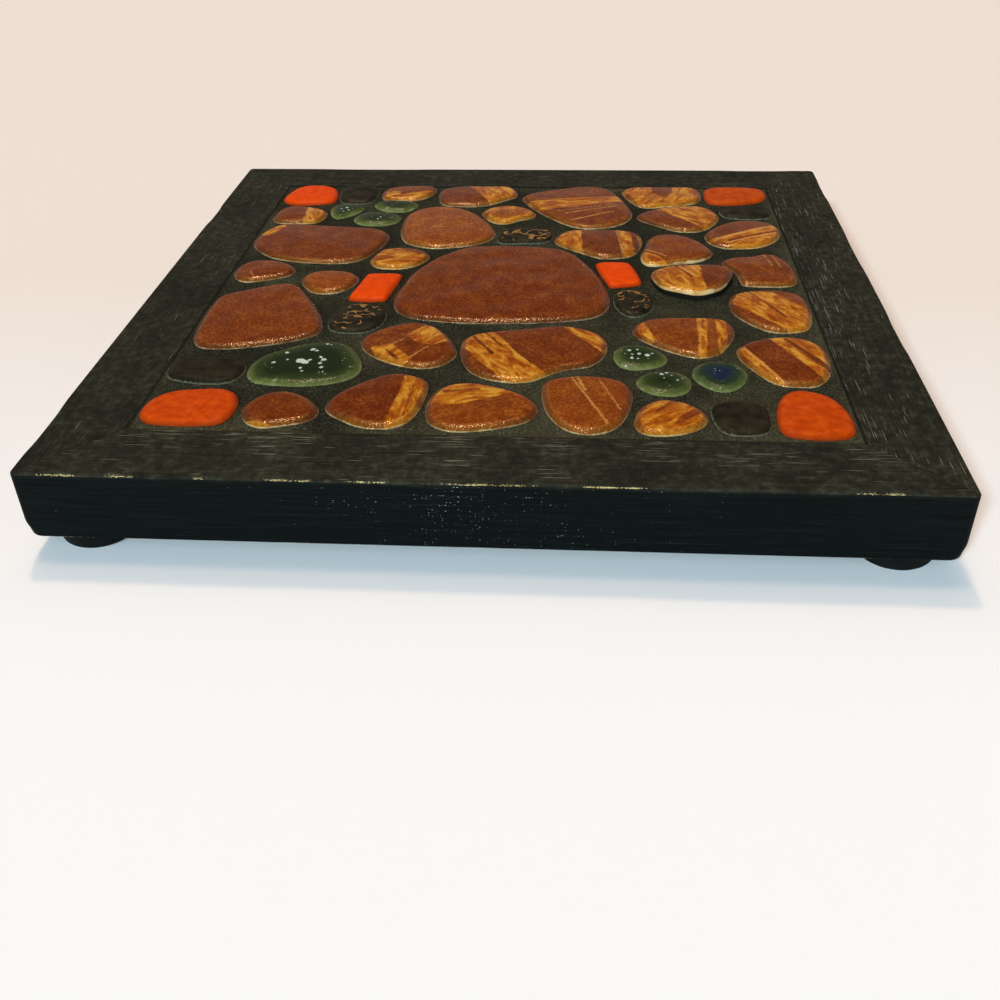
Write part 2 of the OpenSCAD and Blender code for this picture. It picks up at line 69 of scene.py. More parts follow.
# %% Levels and widths
rail_low, rail_high = (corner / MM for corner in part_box("back_rail"))
grout_low, grout_high = (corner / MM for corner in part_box("grout"))
half_width = rail_high.y
rail_underside = rail_low.z
frame_top = rail_high.z
ledge_inside = rail_low.y
mosaic_half = grout_high.x
ledge_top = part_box("base_panel")[0].z / MM
panel_top = grout_low.z
grout_top = grout_high.z
mosaic_width = 2 * mosaic_half
print("frame", 2 * half_width, "mm wide, mosaic", mosaic_width, "mm wide, grout up to", grout_top, "mm")

# %% [markdown]
# Making a mesh from arrays
#
# Every new piece is a surface worked out with numpy. Its points come as one array, and its faces as
# arrays of point numbers, so there is no loop over single points. A value that a material needs at each
# point, such as the distance from a pebble's rim, is stored on the mesh as an attribute. The value runs
# evenly across each face, so a line drawn where it passes zero is crisp even on a coarse mesh.

# %% Mesh helper
def make_piece(name, points, faces, attributes, material, replaced):
    """A smooth mesh with its attributes and material, which stands for one node of the frame."""
    mesh = bpy.data.meshes.new(name)
    mesh.from_pydata((points * MM).tolist(), [], faces)
    for key, values in attributes.items():
        if values.ndim == 2:
            attribute = mesh.attributes.new(key, "FLOAT_VECTOR", "POINT")
            attribute.data.foreach_set("vector", values.astype(np.float32).ravel())
        else:
            attribute = mesh.attributes.new(key, "FLOAT", "POINT")
            attribute.data.foreach_set("value", values.astype(np.float32))
    mesh.materials.append(material)
    mesh.shade_smooth()
    mesh.update()
    piece = bpy.data.objects.new(name, mesh)
    bpy.context.scene.collection.objects.link(piece)
    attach(piece, "root")
    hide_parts(replaced)
    return piece


# %% [markdown]
# A smooth random field
#
# Nothing made by hand is quite even. A sum of a few sine waves in random directions gives a gentle
# unevenness that never repeats in sight. It is seeded, so each run gives the same trivet. The ramp beside
# it is for whatever fades: it rises smoothly from 0 to 1.

# %% Ripple and ramp
WAVES = 9

# The least and the greatest length of one wave, as shares of the wavelength asked for
WAVE_LENGTH_SHARES = (0.7, 1.5)


def ripple(points, wavelength, seed):
    """Sine waves in random directions, added up and divided by the square root of their number.

    The length of each is the wavelength times a random share.
    """
    random = np.random.default_rng(seed)
    turns = random.uniform(0, 2 * np.pi, WAVES)
    shifts = random.uniform(0, 2 * np.pi, WAVES)
    lengths = wavelength * random.uniform(*WAVE_LENGTH_SHARES, WAVES)
    waves = 2 * np.pi * np.stack([np.cos(turns), np.sin(turns)]) / lengths
    return np.sin(points[..., :2] @ waves + shifts).sum(axis=-1) / np.sqrt(WAVES)


def ramp(values, low, high):
    """0 up to low, 1 from high, and a smooth S between them."""
    t = np.clip((values - low) / (high - low), 0, 1)
    return t * t * (3 - 2 * t)


# %% [markdown]
# Nodes and colours
#
# A material is a small graph of nodes. One function adds a node, sets it and links it, and each material
# below is then a list of such lines. Colours are written as they look on a screen, in sRGB hex, and one
# function turns them into the linear values that a renderer adds up.

# %% Colours
def colour(hex_code):
    """Linear red, green and blue of an sRGB hex colour, by the sRGB curve, with full alpha."""
    shown = np.array([int(hex_code[i:i + 2], 16) / 255 for i in (1, 3, 5)])
    linear = np.where(shown <= 0.04045, shown / 12.92, ((shown + 0.055) / 1.055) ** 2.4)
    return (*linear.tolist(), 1.0)


print("a middle grey in linear light:", round(colour("#808080")[0], 4))

# %% Material helpers
# The sockets of a Mix node: its factor, the two values that it can mix, and the two colours
MIX_FACTOR, MIX_VALUE_A, MIX_VALUE_B, MIX_A, MIX_B = 0, 2, 3, 6, 7


def new_material(name):
    """An empty material and its Principled shader."""
    material = bpy.data.materials.new(name)
    material.use_nodes = True
    return material, material.node_tree.nodes["Principled BSDF"]


def add(material, kind, sockets, output=None, stops=(), **settings):
    """Adds a shader node and gives its output of that name, or else the first output that is in use.

    Sockets hold values, or the outputs of other nodes to link. Stops fill a colour ramp.
    """
    node = material.node_tree.nodes.new("ShaderNode" + kind)
    for key, value in settings.items():
        setattr(node, key, value)
    for key, value in sockets.items():
        if isinstance(value, bpy.types.NodeSocket):
            material.node_tree.links.new(value, node.inputs[key])
        else:
            node.inputs[key].default_value = value
    for number, (place, hex_code) in enumerate(stops):
        elements = node.color_ramp.elements
        element = elements[number] if number < len(elements) else elements.new(place)
        element.position = place
        element.color = colour(hex_code)
    return node.outputs[output] if output else next(socket for socket in node.outputs if socket.enabled)


def link(material, source, target):
    """Links an output socket to an input socket."""
    material.node_tree.links.new(source, target)


def finish_material(material, shader, body, bump, plain_values):
    """Links the colour and the bumps to the shader, sets its plain values, and gives the material."""
    link(material, body, shader.inputs["Base Color"])
    link(material, bump, shader.inputs["Normal"])
    for name, value in plain_values.items():
        shader.inputs[name].default_value = value
    return material


# %% [markdown]
# Brown and tan stoneware glaze
#
# Most pebbles are stoneware with an iron glaze, dipped twice, so that a tan band lies over the brown. The
# brown is full of rust-coloured grains about a millimetre wide. The tan runs in streaks, as a glaze does
# when the dipped piece is turned. Where the glaze thins at the rim, the pale clay shows. One material
# serves all these pebbles. Each pebble's mesh says where its tan and its light lines lie, how far each
# point is from the rim, which way the streaks run, and how warm its brown is.

# %% What all the glazes share
GLAZE_IOR = 1.42
SHOULDER_MM = 1.9
SIDE_START_MM = -0.12
SIDE_END_MM = -0.24
DIMPLE_MM = 0.7
DIMPLE_DEPTH_MM = 0.15
TOP_DIMPLE_SHARE = 0.15


def new_glaze(name):
    """A new material, its shader, the glaze's own coordinates, and the distance in from the rim."""
    material, shader = new_material(name)
    place = add(material, "Attribute", {}, "Vector", attribute_name="glaze_mm")
    edge = add(material, "Attribute", {}, "Fac", attribute_name="edge_mm")
    return material, shader, place, edge


def finish_glaze(material, shader, body, place, edge, plain_values):
    """Dark below the rim and glaze above it, dimpled near its edge, where it pulled back in firing."""
    side = add(material, "MapRange", {
        "Value": edge, "From Min": SIDE_END_MM, "From Max": SIDE_START_MM, "To Min": 1.0,
        "To Max": 0.0})
    body = add(material, "Mix", {
        MIX_FACTOR: side, MIX_A: body, MIX_B: colour("#1d1b14")}, data_type="RGBA")
    uneven = add(material, "MapRange", {
        "Value": edge, "From Min": SHOULDER_MM, "From Max": 2 * SHOULDER_MM, "To Min": 1.0,
        "To Max": TOP_DIMPLE_SHARE})
    dimples = add(material, "TexNoise", {
        "Vector": place, "Scale": 1 / DIMPLE_MM, "Detail": 1.0, "Roughness": 0.4})
    bump = add(material, "Bump", {
        "Strength": uneven, "Distance": DIMPLE_DEPTH_MM * MM, "Height": dimples})
    return finish_material(material, shader, body, bump, {"IOR": GLAZE_IOR, **plain_values})


# %% Iron brown and streaked tan
STREAK_LENGTH_MM = 6.5
STREAK_WIDTH_MM = 2.6


def iron_brown(material, mottled):
    """Red brown to orange brown by warmth_share, both mottled."""
    warmth = add(material, "Attribute", {}, "Fac", attribute_name="warmth_share")
    red_brown = add(material, "ValToRGB", {"Fac": mottled}, stops=[
        (0.34, "#521d06"), (0.5, "#6a2a08"), (0.68, "#8b4714")])
    orange_brown = add(material, "ValToRGB", {"Fac": mottled}, stops=[
        (0.34, "#7a3308"), (0.5, "#944810"), (0.68, "#b66b20")])
    return add(material, "Mix", {
        MIX_FACTOR: warmth, MIX_A: red_brown, MIX_B: orange_brown}, data_type="RGBA")


def streaked_tan(material, place, mottled):
    """Tan in soft streaks along the first axis of the glaze's own coordinates, with some of the mottle."""
    streak_shape = (1 / STREAK_LENGTH_MM, 1 / STREAK_WIDTH_MM, 1.0)
    drawn_out = add(material, "VectorMath", {0: place, 1: streak_shape}, operation="MULTIPLY")
    streak = add(material, "TexNoise", {
        "Vector": drawn_out, "Scale": 1.0, "Detail": 2.0, "Roughness": 0.5, "Distortion": 0.8})
    streak = add(material, "Math", {0: mottled, 1: 0.55, 2: streak}, operation="MULTIPLY_ADD")
    return add(material, "ValToRGB", {"Fac": streak}, stops=[
        (0.6, "#8d3e07"), (0.76, "#b0610f"), (0.94, "#cf9130")])


# %% Thin, pooled and bare places
SHOULDER_BAND_SHARE = 0.6
RIM_END_MM = 0.03
RIM_BLEND_MM = 0.25
RIM_FRAY_MM = 0.5


def thin_shade_and_glow(material, body, edge, grain, painted_glow, tan_mask):
    """A dull dark brown on the shoulder, partly thin glaze and partly painted shade, and amber in a painted
    glow.
    """
    # Partly thin glaze and partly painted shade: a dark band on the sloping shoulder
    thin_and_shade_mask = add(material, "MapRange", {
        "Value": edge, "From Min": SHOULDER_BAND_SHARE * SHOULDER_MM, "From Max": SHOULDER_MM,
        "To Min": 0.6, "To Max": 0.0}, interpolation_type="SMOOTHSTEP")
    body = add(material, "Mix", {
        MIX_FACTOR: thin_and_shade_mask, MIX_A: body, MIX_B: colour("#452c17")}, data_type="RGBA")
    # Painted glow: amber on the front shoulder, as if light shone through the glaze from behind
    glow_mask = add(material, "Math", {0: painted_glow, 1: grain}, operation="MULTIPLY")
    glow_mask = add(material, "MapRange", {
        "Value": glow_mask, "From Min": 0.1, "From Max": 0.6, "To Max": 0.75})
    tan_glow = add(material, "MapRange", {"Value": tan_mask, "To Min": 0.35, "To Max": 1.0})
    glow_mask = add(material, "Math", {0: glow_mask, 1: tan_glow}, operation="MULTIPLY")
    return add(material, "Mix", {
        MIX_FACTOR: glow_mask, MIX_A: body, MIX_B: colour("#d0861f")}, data_type="RGBA")


def bare_rim(material, body, edge, grain, cloud, painted_glow):
    """Pale clay along the rim: broken by the grain, faint in patches, and wider at a lip. It is lighter in
    the painted glow on the front side.
    """
    lip = add(material, "Attribute", {}, "Fac", attribute_name="lip_mm")
    ragged = add(material, "MapRange", {
        "Value": cloud, "From Min": 0.3, "From Max": 0.7, "To Min": -0.4, "To Max": -1.5})
    lip_edge = add(material, "Math", {0: lip, 1: ragged, 2: edge}, operation="MULTIPLY_ADD")
    rough_edge = add(material, "Math", {0: grain, 1: -RIM_FRAY_MM, 2: lip_edge}, operation="MULTIPLY_ADD")
    rim_mask = add(material, "MapRange", {
        "Value": rough_edge, "From Min": RIM_END_MM - RIM_BLEND_MM, "From Max": RIM_END_MM, "To Min": 0.7,
        "To Max": 0.0})
    patchy = add(material, "MapRange", {
        "Value": cloud, "From Min": 0.38, "From Max": 0.6, "To Min": 0.25, "To Max": 1.0})
    rim_mask = add(material, "Math", {0: rim_mask, 1: patchy}, operation="MULTIPLY")
    # Painted glow: the clay of the rim is lighter on the front side
    clay = add(material, "Mix", {
        MIX_FACTOR: painted_glow, MIX_A: colour("#a48b6a"), MIX_B: colour("#dcc690")}, data_type="RGBA")
    return add(material, "Mix", {MIX_FACTOR: rim_mask, MIX_A: body, MIX_B: clay}, data_type="RGBA")


# %% Banded glaze
GRAIN_MM = 0.95
CLOUD_MM = 5.0
BAND_WOBBLE_MM = 0.6
BAND_BLEND_MM = 0.25
LINE_FRAY_MM = 0.9
LINE_START_MM = 0.3
LINE_END_MM = 0.75


def banded_glaze():
    """Granular brown, with streaked tan where tan_mm is above zero, and light lines where line_mm is."""
    material, shader, place, edge = new_glaze("iron_glazed_stoneware")
    tan = add(material, "Attribute", {}, "Fac", attribute_name="tan_mm")
    line = add(material, "Attribute", {}, "Fac", attribute_name="line_mm")
    painted_glow = add(material, "Attribute", {}, "Fac", attribute_name="painted_glow_share")
    grain = add(material, "TexNoise", {
        "Vector": place, "Scale": 1 / GRAIN_MM, "Detail": 2.0, "Roughness": 0.65})
    cloud = add(material, "TexNoise", {"Vector": place, "Scale": 1 / CLOUD_MM, "Detail": 3.0})
    mottled = add(material, "Mix", {MIX_FACTOR: 0.38, MIX_VALUE_A: grain, MIX_VALUE_B: cloud})

    # The band's border wanders with the clouds
    wobble = add(material, "MapRange", {
        "Value": cloud, "To Min": -BAND_WOBBLE_MM, "To Max": BAND_WOBBLE_MM})
    tan_edge = add(material, "Math", {0: tan, 1: wobble}, operation="ADD")
    tan_mask = add(material, "MapRange", {
        "Value": tan_edge, "From Min": -BAND_BLEND_MM, "From Max": BAND_BLEND_MM},
        interpolation_type="SMOOTHSTEP")
    body = add(material, "Mix", {
        MIX_FACTOR: tan_mask, MIX_A: iron_brown(material, mottled),
        MIX_B: streaked_tan(material, place, mottled)}, data_type="RGBA")

    # The light lines are broken by the grain
    rough_line = add(material, "Math", {0: grain, 1: LINE_FRAY_MM, 2: line}, operation="MULTIPLY_ADD")
    line_mask = add(material, "MapRange", {
        "Value": rough_line, "From Min": LINE_START_MM, "From Max": LINE_END_MM, "To Max": 0.7})
    body = add(material, "Mix", {
        MIX_FACTOR: line_mask, MIX_A: body, MIX_B: colour("#cf9148")}, data_type="RGBA")

    body = thin_shade_and_glow(material, body, edge, grain, painted_glow, tan_mask)
    body = bare_rim(material, body, edge, grain, cloud, painted_glow)
    plain_values = {"Roughness": 0.12, "Specular Tint": colour("#ffdcb4")}
    return finish_glaze(material, shader, body, place, edge, plain_values)


brown_glaze = banded_glaze()
print("material", brown_glaze.name, "with", len(brown_glaze.node_tree.nodes), "nodes")

# %% [markdown]
# Orange glaze
#
# The bright chips and the corner pebbles carry an opaque cadmium-orange glaze with a satin skin. It shows
# almost no grain, only a slow mottle, and it runs to a deeper red where it is thin at the edge. The corner
# pebbles were fired hotter and came out a burnt orange, so warmth_share mixes the two here as well.

# %% Satin orange glaze
ORANGE_MOTTLE_MM = 2.5
ORANGE_FRAY_MM = 0.8
THIN_START_MM = -0.3
THIN_END_MM = 0.9


def orange_glaze():
    """Burnt orange to vivid orange by warmth_share, mottled, and redder at the rim."""
    material, shader, place, edge = new_glaze("satin_orange_glaze")
    warmth = add(material, "Attribute", {}, "Fac", attribute_name="warmth_share")
    mottle = add(material, "TexNoise", {
        "Vector": place, "Scale": 1 / ORANGE_MOTTLE_MM, "Detail": 5.0, "Roughness": 0.65})
    burnt = add(material, "ValToRGB", {"Fac": mottle}, stops=[
        (0.3, "#9d3504"), (0.5, "#b64207"), (0.7, "#c9510d")])
    vivid = add(material, "ValToRGB", {"Fac": mottle}, stops=[
        (0.3, "#cd3a00"), (0.5, "#de4300"), (0.7, "#e84f05")])
    body = add(material, "Mix", {MIX_FACTOR: warmth, MIX_A: burnt, MIX_B: vivid}, data_type="RGBA")
    rough_edge = add(material, "Math", {0: mottle, 1: -ORANGE_FRAY_MM, 2: edge}, operation="MULTIPLY_ADD")
    edge_band = add(material, "MapRange", {
        "Value": rough_edge, "From Min": THIN_START_MM, "From Max": THIN_END_MM, "To Min": 0.7,
        "To Max": 0.0})
    body = add(material, "Mix", {
        MIX_FACTOR: edge_band, MIX_A: body, MIX_B: colour("#7a2a0c")}, data_type="RGBA")
    plain_values = {"Roughness": 0.36, "Specular IOR Level": 0.06}
    return finish_glaze(material, shader, body, place, edge, plain_values)


satin_orange = orange_glaze()
print("material", satin_orange.name, "with", len(satin_orange.node_tree.nodes), "nodes")

# %% [markdown]
# Green crystal glaze
#
# The green pebbles look like glass over a dark body. Their edge, where the glaze is thin, is a lighter
# green, and the middle is nearly black, or blue on one of them. White crystals grew in it, some alone and
# some in groups. On the mesh, spot_mm is above zero inside a crystal, and a fine noise frays its outline.

# %% Crystal glaze
DEPTH_CLOUD_MM = 3.0
DEPTH_FRAY_MM = 3.0
DEPTH_START_MM = -1.7
DEPTH_END_MM = 4.5
GLOW_START_MM = 0.3
GLOW_END_MM = 0.9
FRAY_MM = 0.55
FRAY_DEPTH_MM = 1.5
SPOT_START_MM = -0.05
SPOT_END_MM = 0.12


def crystal_glaze(name, deep, middle, thin_green):
    """Glassy green: thin_green, then middle, then deep, with white crystals where spot_mm is above zero."""
    material, shader, place, edge = new_glaze(name)
    spot = add(material, "Attribute", {}, "Fac", attribute_name="spot_mm")
    painted_glow = add(material, "Attribute", {}, "Fac", attribute_name="painted_glow_share")
    cloud = add(material, "TexNoise", {"Vector": place, "Scale": 1 / DEPTH_CLOUD_MM, "Detail": 4.0})

    # The glaze darkens away from the rim, unevenly. A painted glow turns the rim a lighter green on the
    # front side
    rough_edge = add(material, "Math", {0: cloud, 1: -DEPTH_FRAY_MM, 2: edge}, operation="MULTIPLY_ADD")
    depth = add(material, "MapRange", {
        "Value": rough_edge, "From Min": DEPTH_START_MM, "From Max": DEPTH_END_MM})
    body = add(material, "ValToRGB", {"Fac": depth}, stops=[
        (0.0, "#7c7c52"), (0.14, thin_green), (0.42, middle), (1.0, deep)])
    edge_band = add(material, "MapRange", {
        "Value": edge, "From Min": GLOW_START_MM, "From Max": GLOW_END_MM, "To Min": 0.4, "To Max": 0.0})
    edge_band = add(material, "Math", {0: edge_band, 1: painted_glow}, operation="MULTIPLY")
    body = add(material, "Mix", {
        MIX_FACTOR: edge_band, MIX_A: body, MIX_B: colour("#6b7634")}, data_type="RGBA")

    # The crystals have frayed outlines, and small flecks lie between them
    fray = add(material, "TexNoise", {
        "Vector": place, "Scale": 1 / FRAY_MM, "Detail": 3.0, "Roughness": 0.7})
    fray = add(material, "Math", {0: fray, 1: 0.5}, operation="SUBTRACT")
    inside = add(material, "Math", {0: fray, 1: FRAY_DEPTH_MM, 2: spot}, operation="MULTIPLY_ADD")
    crystal = add(material, "MapRange", {
        "Value": inside, "From Min": SPOT_START_MM, "From Max": SPOT_END_MM, "To Max": 0.9})
    crowd = add(material, "Math", {0: cloud, 1: 0.8, 2: fray}, operation="MULTIPLY_ADD")
    fleck = add(material, "MapRange", {"Value": crowd, "From Min": 0.64, "From Max": 0.69, "To Max": 0.8})
    crystal = add(material, "Math", {0: crystal, 1: fleck}, operation="MAXIMUM")
    body = add(material, "Mix", {
        MIX_FACTOR: crystal, MIX_A: body, MIX_B: colour("#c9d6ca")}, data_type="RGBA")
    plain_values = {"Roughness": 0.2, "Specular IOR Level": 0.2}
    return finish_glaze(material, shader, body, place, edge, plain_values)


green_crystal = crystal_glaze("green_crystal_glaze", "#1e2611", "#313c1b", "#535a2c")
blue_green_crystal = crystal_glaze("blue_green_crystal_glaze", "#14213a", "#26331c", "#4a5830")
print("materials", green_crystal.name, "and", blue_green_crystal.name)

# %% [markdown]
# Black glaze
#
# The black pebbles have a satin iron-black glaze that breaks to grey at the rim. Three of them also bear
# small ochre curls, as if touched on with a thin brush before the firing. They could be drawn one by one,
# but the level lines of a noise give such curls at once, kept only where a second noise allows them.

# %% Satin black glaze
BLACK_CLOUD_MM = 4.0
BLACK_FRAY_MM = 0.9
BLACK_RIM_START_MM = -0.4
BLACK_RIM_END_MM = -0.05
CURL_SPACING_MM = 2.6
CURL_GROUP_MM = 4.5
CURL_START_MM = 1.2
CURL_END_MM = 1.8


def ochre_curls(material, body, place, edge):
    """Ochre along the level lines of one noise, where a second noise is high, and away from the rim."""
    hills = add(material, "TexNoise", {"Vector": place, "Scale": 1 / CURL_SPACING_MM, "Detail": 0.0})
    level = add(material, "Math", {0: hills, 1: 0.5}, operation="SUBTRACT")
    level = add(material, "Math", {0: level}, operation="ABSOLUTE")
    curl = add(material, "MapRange", {
        "Value": level, "From Min": 0.035, "From Max": 0.055, "To Min": 1.0, "To Max": 0.0})
    group = add(material, "TexNoise", {"Vector": place, "Scale": 1 / CURL_GROUP_MM, "Detail": 1.0})
    group = add(material, "MapRange", {"Value": group, "From Min": 0.47, "From Max": 0.5})
    within = add(material, "MapRange", {
        "Value": edge, "From Min": CURL_START_MM, "From Max": CURL_END_MM})
    curl = add(material, "Math", {0: curl, 1: group}, operation="MULTIPLY")
    curl = add(material, "Math", {0: curl, 1: within}, operation="MULTIPLY")
    return add(material, "Mix", {
        MIX_FACTOR: curl, MIX_A: body, MIX_B: colour("#936839")}, data_type="RGBA")


def black_glaze(name, marked):
    """Satin black with a grey rim and, if marked, with short ochre curls."""
    material, shader, place, edge = new_glaze(name)
    cloud = add(material, "TexNoise", {"Vector": place, "Scale": 1 / BLACK_CLOUD_MM, "Detail": 4.0})
    grain = add(material, "TexNoise", {"Vector": place, "Scale": 1 / GRAIN_MM, "Detail": 2.0})
    body = add(material, "ValToRGB", {"Fac": cloud}, stops=[(0.35, "#15130a"), (0.65, "#2d281a")])
    if marked:
        body = ochre_curls(material, body, place, edge)
    rough_edge = add(material, "Math", {0: grain, 1: -BLACK_FRAY_MM, 2: edge}, operation="MULTIPLY_ADD")
    rim = add(material, "MapRange", {
        "Value": rough_edge, "From Min": BLACK_RIM_START_MM, "From Max": BLACK_RIM_END_MM, "To Min": 0.8,
        "To Max": 0.0})
    body = add(material, "Mix", {
        MIX_FACTOR: rim, MIX_A: body, MIX_B: colour("#66654f")}, data_type="RGBA")
    plain_values = {"Roughness": 0.42, "Specular IOR Level": 0.1}
    return finish_glaze(material, shader, body, place, edge, plain_values)


plain_black = black_glaze("satin_black_glaze", marked=False)
marked_black = black_glaze("satin_black_glaze_with_ochre_curls", marked=True)
print("materials", plain_black.name, "and", marked_black.name)

# %% [markdown]
# Which glaze each pebble has
#
# The record's material slot says whether a pebble is orange, green, black or one of the browns. The orange
# ones differ only in how warm they are. What makes each brown pebble its own is its pattern: areas of tan,
# areas of brown inside them, and light lines. They are given as shares of the mosaic's width from its
# middle, like the outlines in the imported model. A line is its two ends and its width. A crystal on a green
# pebble is a spot, with its middle and its radius. The streak is the direction in which the tan runs, in
# degrees from +X. The glow strength sets a painted glow on the front side, towards -Y: painted light that
# shines through the glaze at the near shoulder. lip_mm is how far the bare rim reaches in on that side.

# %% Warmth of the orange pebbles
patterns = {
    "orange_pebble_back_left": {"warmth_share": 1.0},
    "orange_chips": {"warmth_share": 1.0},
    "orange_pebble_back_right": {"warmth_share": 0.0},
    "orange_pebble_front_left": {"warmth_share": 0.3},
    "orange_pebble_front_right": {"warmth_share": 0.15},
}
print(len(patterns), "pieces with orange glaze")

# %% Bands of the back pebbles
# The corners of a square, anticlockwise from above, as shares of half its width
CORNER_SHARES = ((-1, -1), (1, -1), (1, 1), (-1, 1))

# The whole of the mosaic, for pebbles that are tan all over
whole_shares = [(x / 2, y / 2) for x, y in CORNER_SHARES]

patterns.update({
    "russet_pebble_back_left": {
        "warmth_share": 0.35, "streak": 20,
        "tan_shares": [
            [(-0.29, 0.41), (-0.2, 0.41), (-0.18, 0.46), (-0.2, 0.455), (-0.25, 0.432), (-0.28, 0.45)],
            [(-0.272, 0.452), (-0.25, 0.448), (-0.252, 0.428), (-0.268, 0.428)]]},
    "half_tan_pebble_back": {
        "warmth_share": 0.1, "streak": -60,
        "tan_shares": [
            [(-0.128, 0.5), (-0.096, 0.457), (-0.078, 0.42), (-0.059, 0.375), (0, 0.37), (0, 0.5)]]},
    "banded_pebble_back": {
        "warmth_share": 0.25, "streak": 10,
        "tan_shares": [
            [(0, 0.392), (0.02, 0.395), (0.1, 0.415), (0.23, 0.435), (0.23, 0.405), (0.19, 0.395),
             (0.1, 0.365), (0.055, 0.35), (0.02, 0.335)]],
        "line_shares": [
            (0.09, 0.33, 0.19, 0.37, 0.004), (0.1, 0.293, 0.18, 0.34, 0.005),
            (0.07, 0.34, 0.2, 0.385, 0.002)]},
    "tan_pebble_back_right": {
        "warmth_share": 0.15, "streak": 65, "tan_shares": [whole_shares],
        "brown_shares": [[(0.262, 0.5), (0.306, 0.5), (0.305, 0.45), (0.285, 0.42), (0.265, 0.444)]]},
    "half_tan_pebble_left_back": {
        "warmth_share": 0.1, "streak": -75,
        "tan_shares": [[(-0.43, 0.38), (-0.37, 0.38), (-0.37, 0.27), (-0.421, 0.27)]],
        "line_shares": [(-0.425, 0.358, -0.416, 0.29, 0.006)]},
    "honey_pebble_back_left": {
        "warmth_share": 0.75, "streak": 24,
        "line_shares": [
            (-0.2, 0.238, -0.065, 0.296, 0.0008), (-0.2, 0.226, -0.055, 0.287, 0.0012),
            (-0.19, 0.216, -0.05, 0.276, 0.0006)]},
    "tan_pebble_back_middle": {
        "warmth_share": 0.8, "streak": 70, "tan_shares": [whole_shares],
        "brown_shares": [
            [(-0.055, 0.305), (-0.02, 0.3), (0.01, 0.325), (-0.005, 0.35), (-0.04, 0.352)]]},
    "half_tan_pebble_right_back": {
        "warmth_share": 0.1, "streak": -45,
        "tan_shares": [
            [(0.255, 0.368), (0.267, 0.353), (0.352, 0.257), (0.4, 0.24), (0.4, 0.4), (0.25, 0.4)]]},
    "striped_pebble_right_back": {
        "warmth_share": 0.15, "streak": 31,
        "tan_shares": [
            [(0.34, 0.19), (0.369, 0.203), (0.481, 0.272), (0.5, 0.28), (0.5, 0.16), (0.34, 0.16)]],
        "brown_shares": [
            [(0.35, 0.193), (0.384, 0.184), (0.395, 0.165), (0.36, 0.16)],
            [(0.39, 0.197), (0.49, 0.25), (0.49, 0.243), (0.392, 0.19)]],
        "line_shares": [(0.369, 0.203, 0.481, 0.27, 0.007), (0.385, 0.184, 0.484, 0.235, 0.006)]},
    "russet_pebble_left_back": {
        "warmth_share": 0.12, "streak": 60,
        "tan_shares": [
            [(-0.488, 0.205), (-0.48, 0.25), (-0.455, 0.264), (-0.447, 0.25), (-0.462, 0.215),
             (-0.475, 0.198)]]},
    "striped_pebble_back_middle": {
        "warmth_share": 0.05, "streak": -83,
        "tan_shares": [
            [(0.05, 0.26), (0.12, 0.26), (0.124, 0.11), (0.05, 0.11)],
            [(0.188, 0.26), (0.2, 0.11), (0.25, 0.11), (0.25, 0.26)]],
        "brown_shares": [[(0.211, 0.25), (0.222, 0.25), (0.228, 0.14), (0.218, 0.14)]],
        "line_shares": [(0.1855, 0.25, 0.1975, 0.12, 0.004)]},
})
print(len(patterns), "pebbles or groups have a pattern so far")

# %% Bands of the middle pebbles
patterns.update({
    "russet_pebble_right_middle": {
        "warmth_share": 0.4, "streak": -32, "glow_strength": 1.2, "lip_mm": 0.7,
        "tan_shares": [
            [(0.22, 0.154), (0.235, 0.138), (0.26, 0.114), (0.28, 0.08), (0.25, 0.07), (0.21, 0.08)]],
        "line_shares": [(0.238, 0.146, 0.272, 0.118, 0.005)]},
    "ochre_pebble_left_middle": {
        "warmth_share": 0.1, "streak": 15, "tan_shares": [whole_shares],
        "brown_shares": [
            [(-0.225, 0.152), (-0.19, 0.16), (-0.15, 0.14), (-0.15, 0.113), (-0.172, 0.118),
             (-0.2, 0.135)]]},
    "russet_pebble_left_middle": {
        "warmth_share": 0.2, "streak": -50,
        "line_shares": [(-0.462, 0.03, -0.45, 0.01, 0.003)]},
    "small_russet_pebble_left": {"warmth_share": 0.7, "streak": 10},
    "centre_pebble": {
        "warmth_share": 0.12, "streak": -80, "glow_strength": 0.2,
        "line_shares": [(0.122, 0.09, 0.13, 0.045, 0.001)]},
    "thick_pebble_right": {
        "warmth_share": 0.1, "streak": -62, "glow_strength": 1.6, "lip_mm": 1.0,
        "tan_shares": [[(0.23, 0.08), (0.325, 0.08), (0.33, -0.06), (0.23, -0.06)]],
        "brown_shares": [[(0.274, 0.066), (0.278, 0.066), (0.313, 0.0), (0.308, 0.0)]],
        "line_shares": [(0.284, 0.064, 0.316, 0.006, 0.005)]},
    "russet_pebble_right_edge": {
        "warmth_share": 0.3, "streak": -80,
        "line_shares": [(0.444, 0.131, 0.4545, 0.0775, 0.003), (0.46, 0.128, 0.468, 0.072, 0.003)]},
    "marbled_pebble_right": {
        "warmth_share": 0.3, "streak": -60,
        "tan_shares": [
            [(0.36, -0.03), (0.425, -0.02), (0.46, -0.06), (0.5, -0.12), (0.5, -0.18), (0.45, -0.18),
             (0.4, -0.12), (0.36, -0.07)]],
        "brown_shares": [[(0.396, -0.03), (0.4, -0.03), (0.452, -0.13), (0.445, -0.135)]]},
    "large_russet_pebble_left": {"warmth_share": 0.25, "streak": 90, "glow_strength": 0.3},
})
print(len(patterns), "pebbles or groups have a pattern so far")

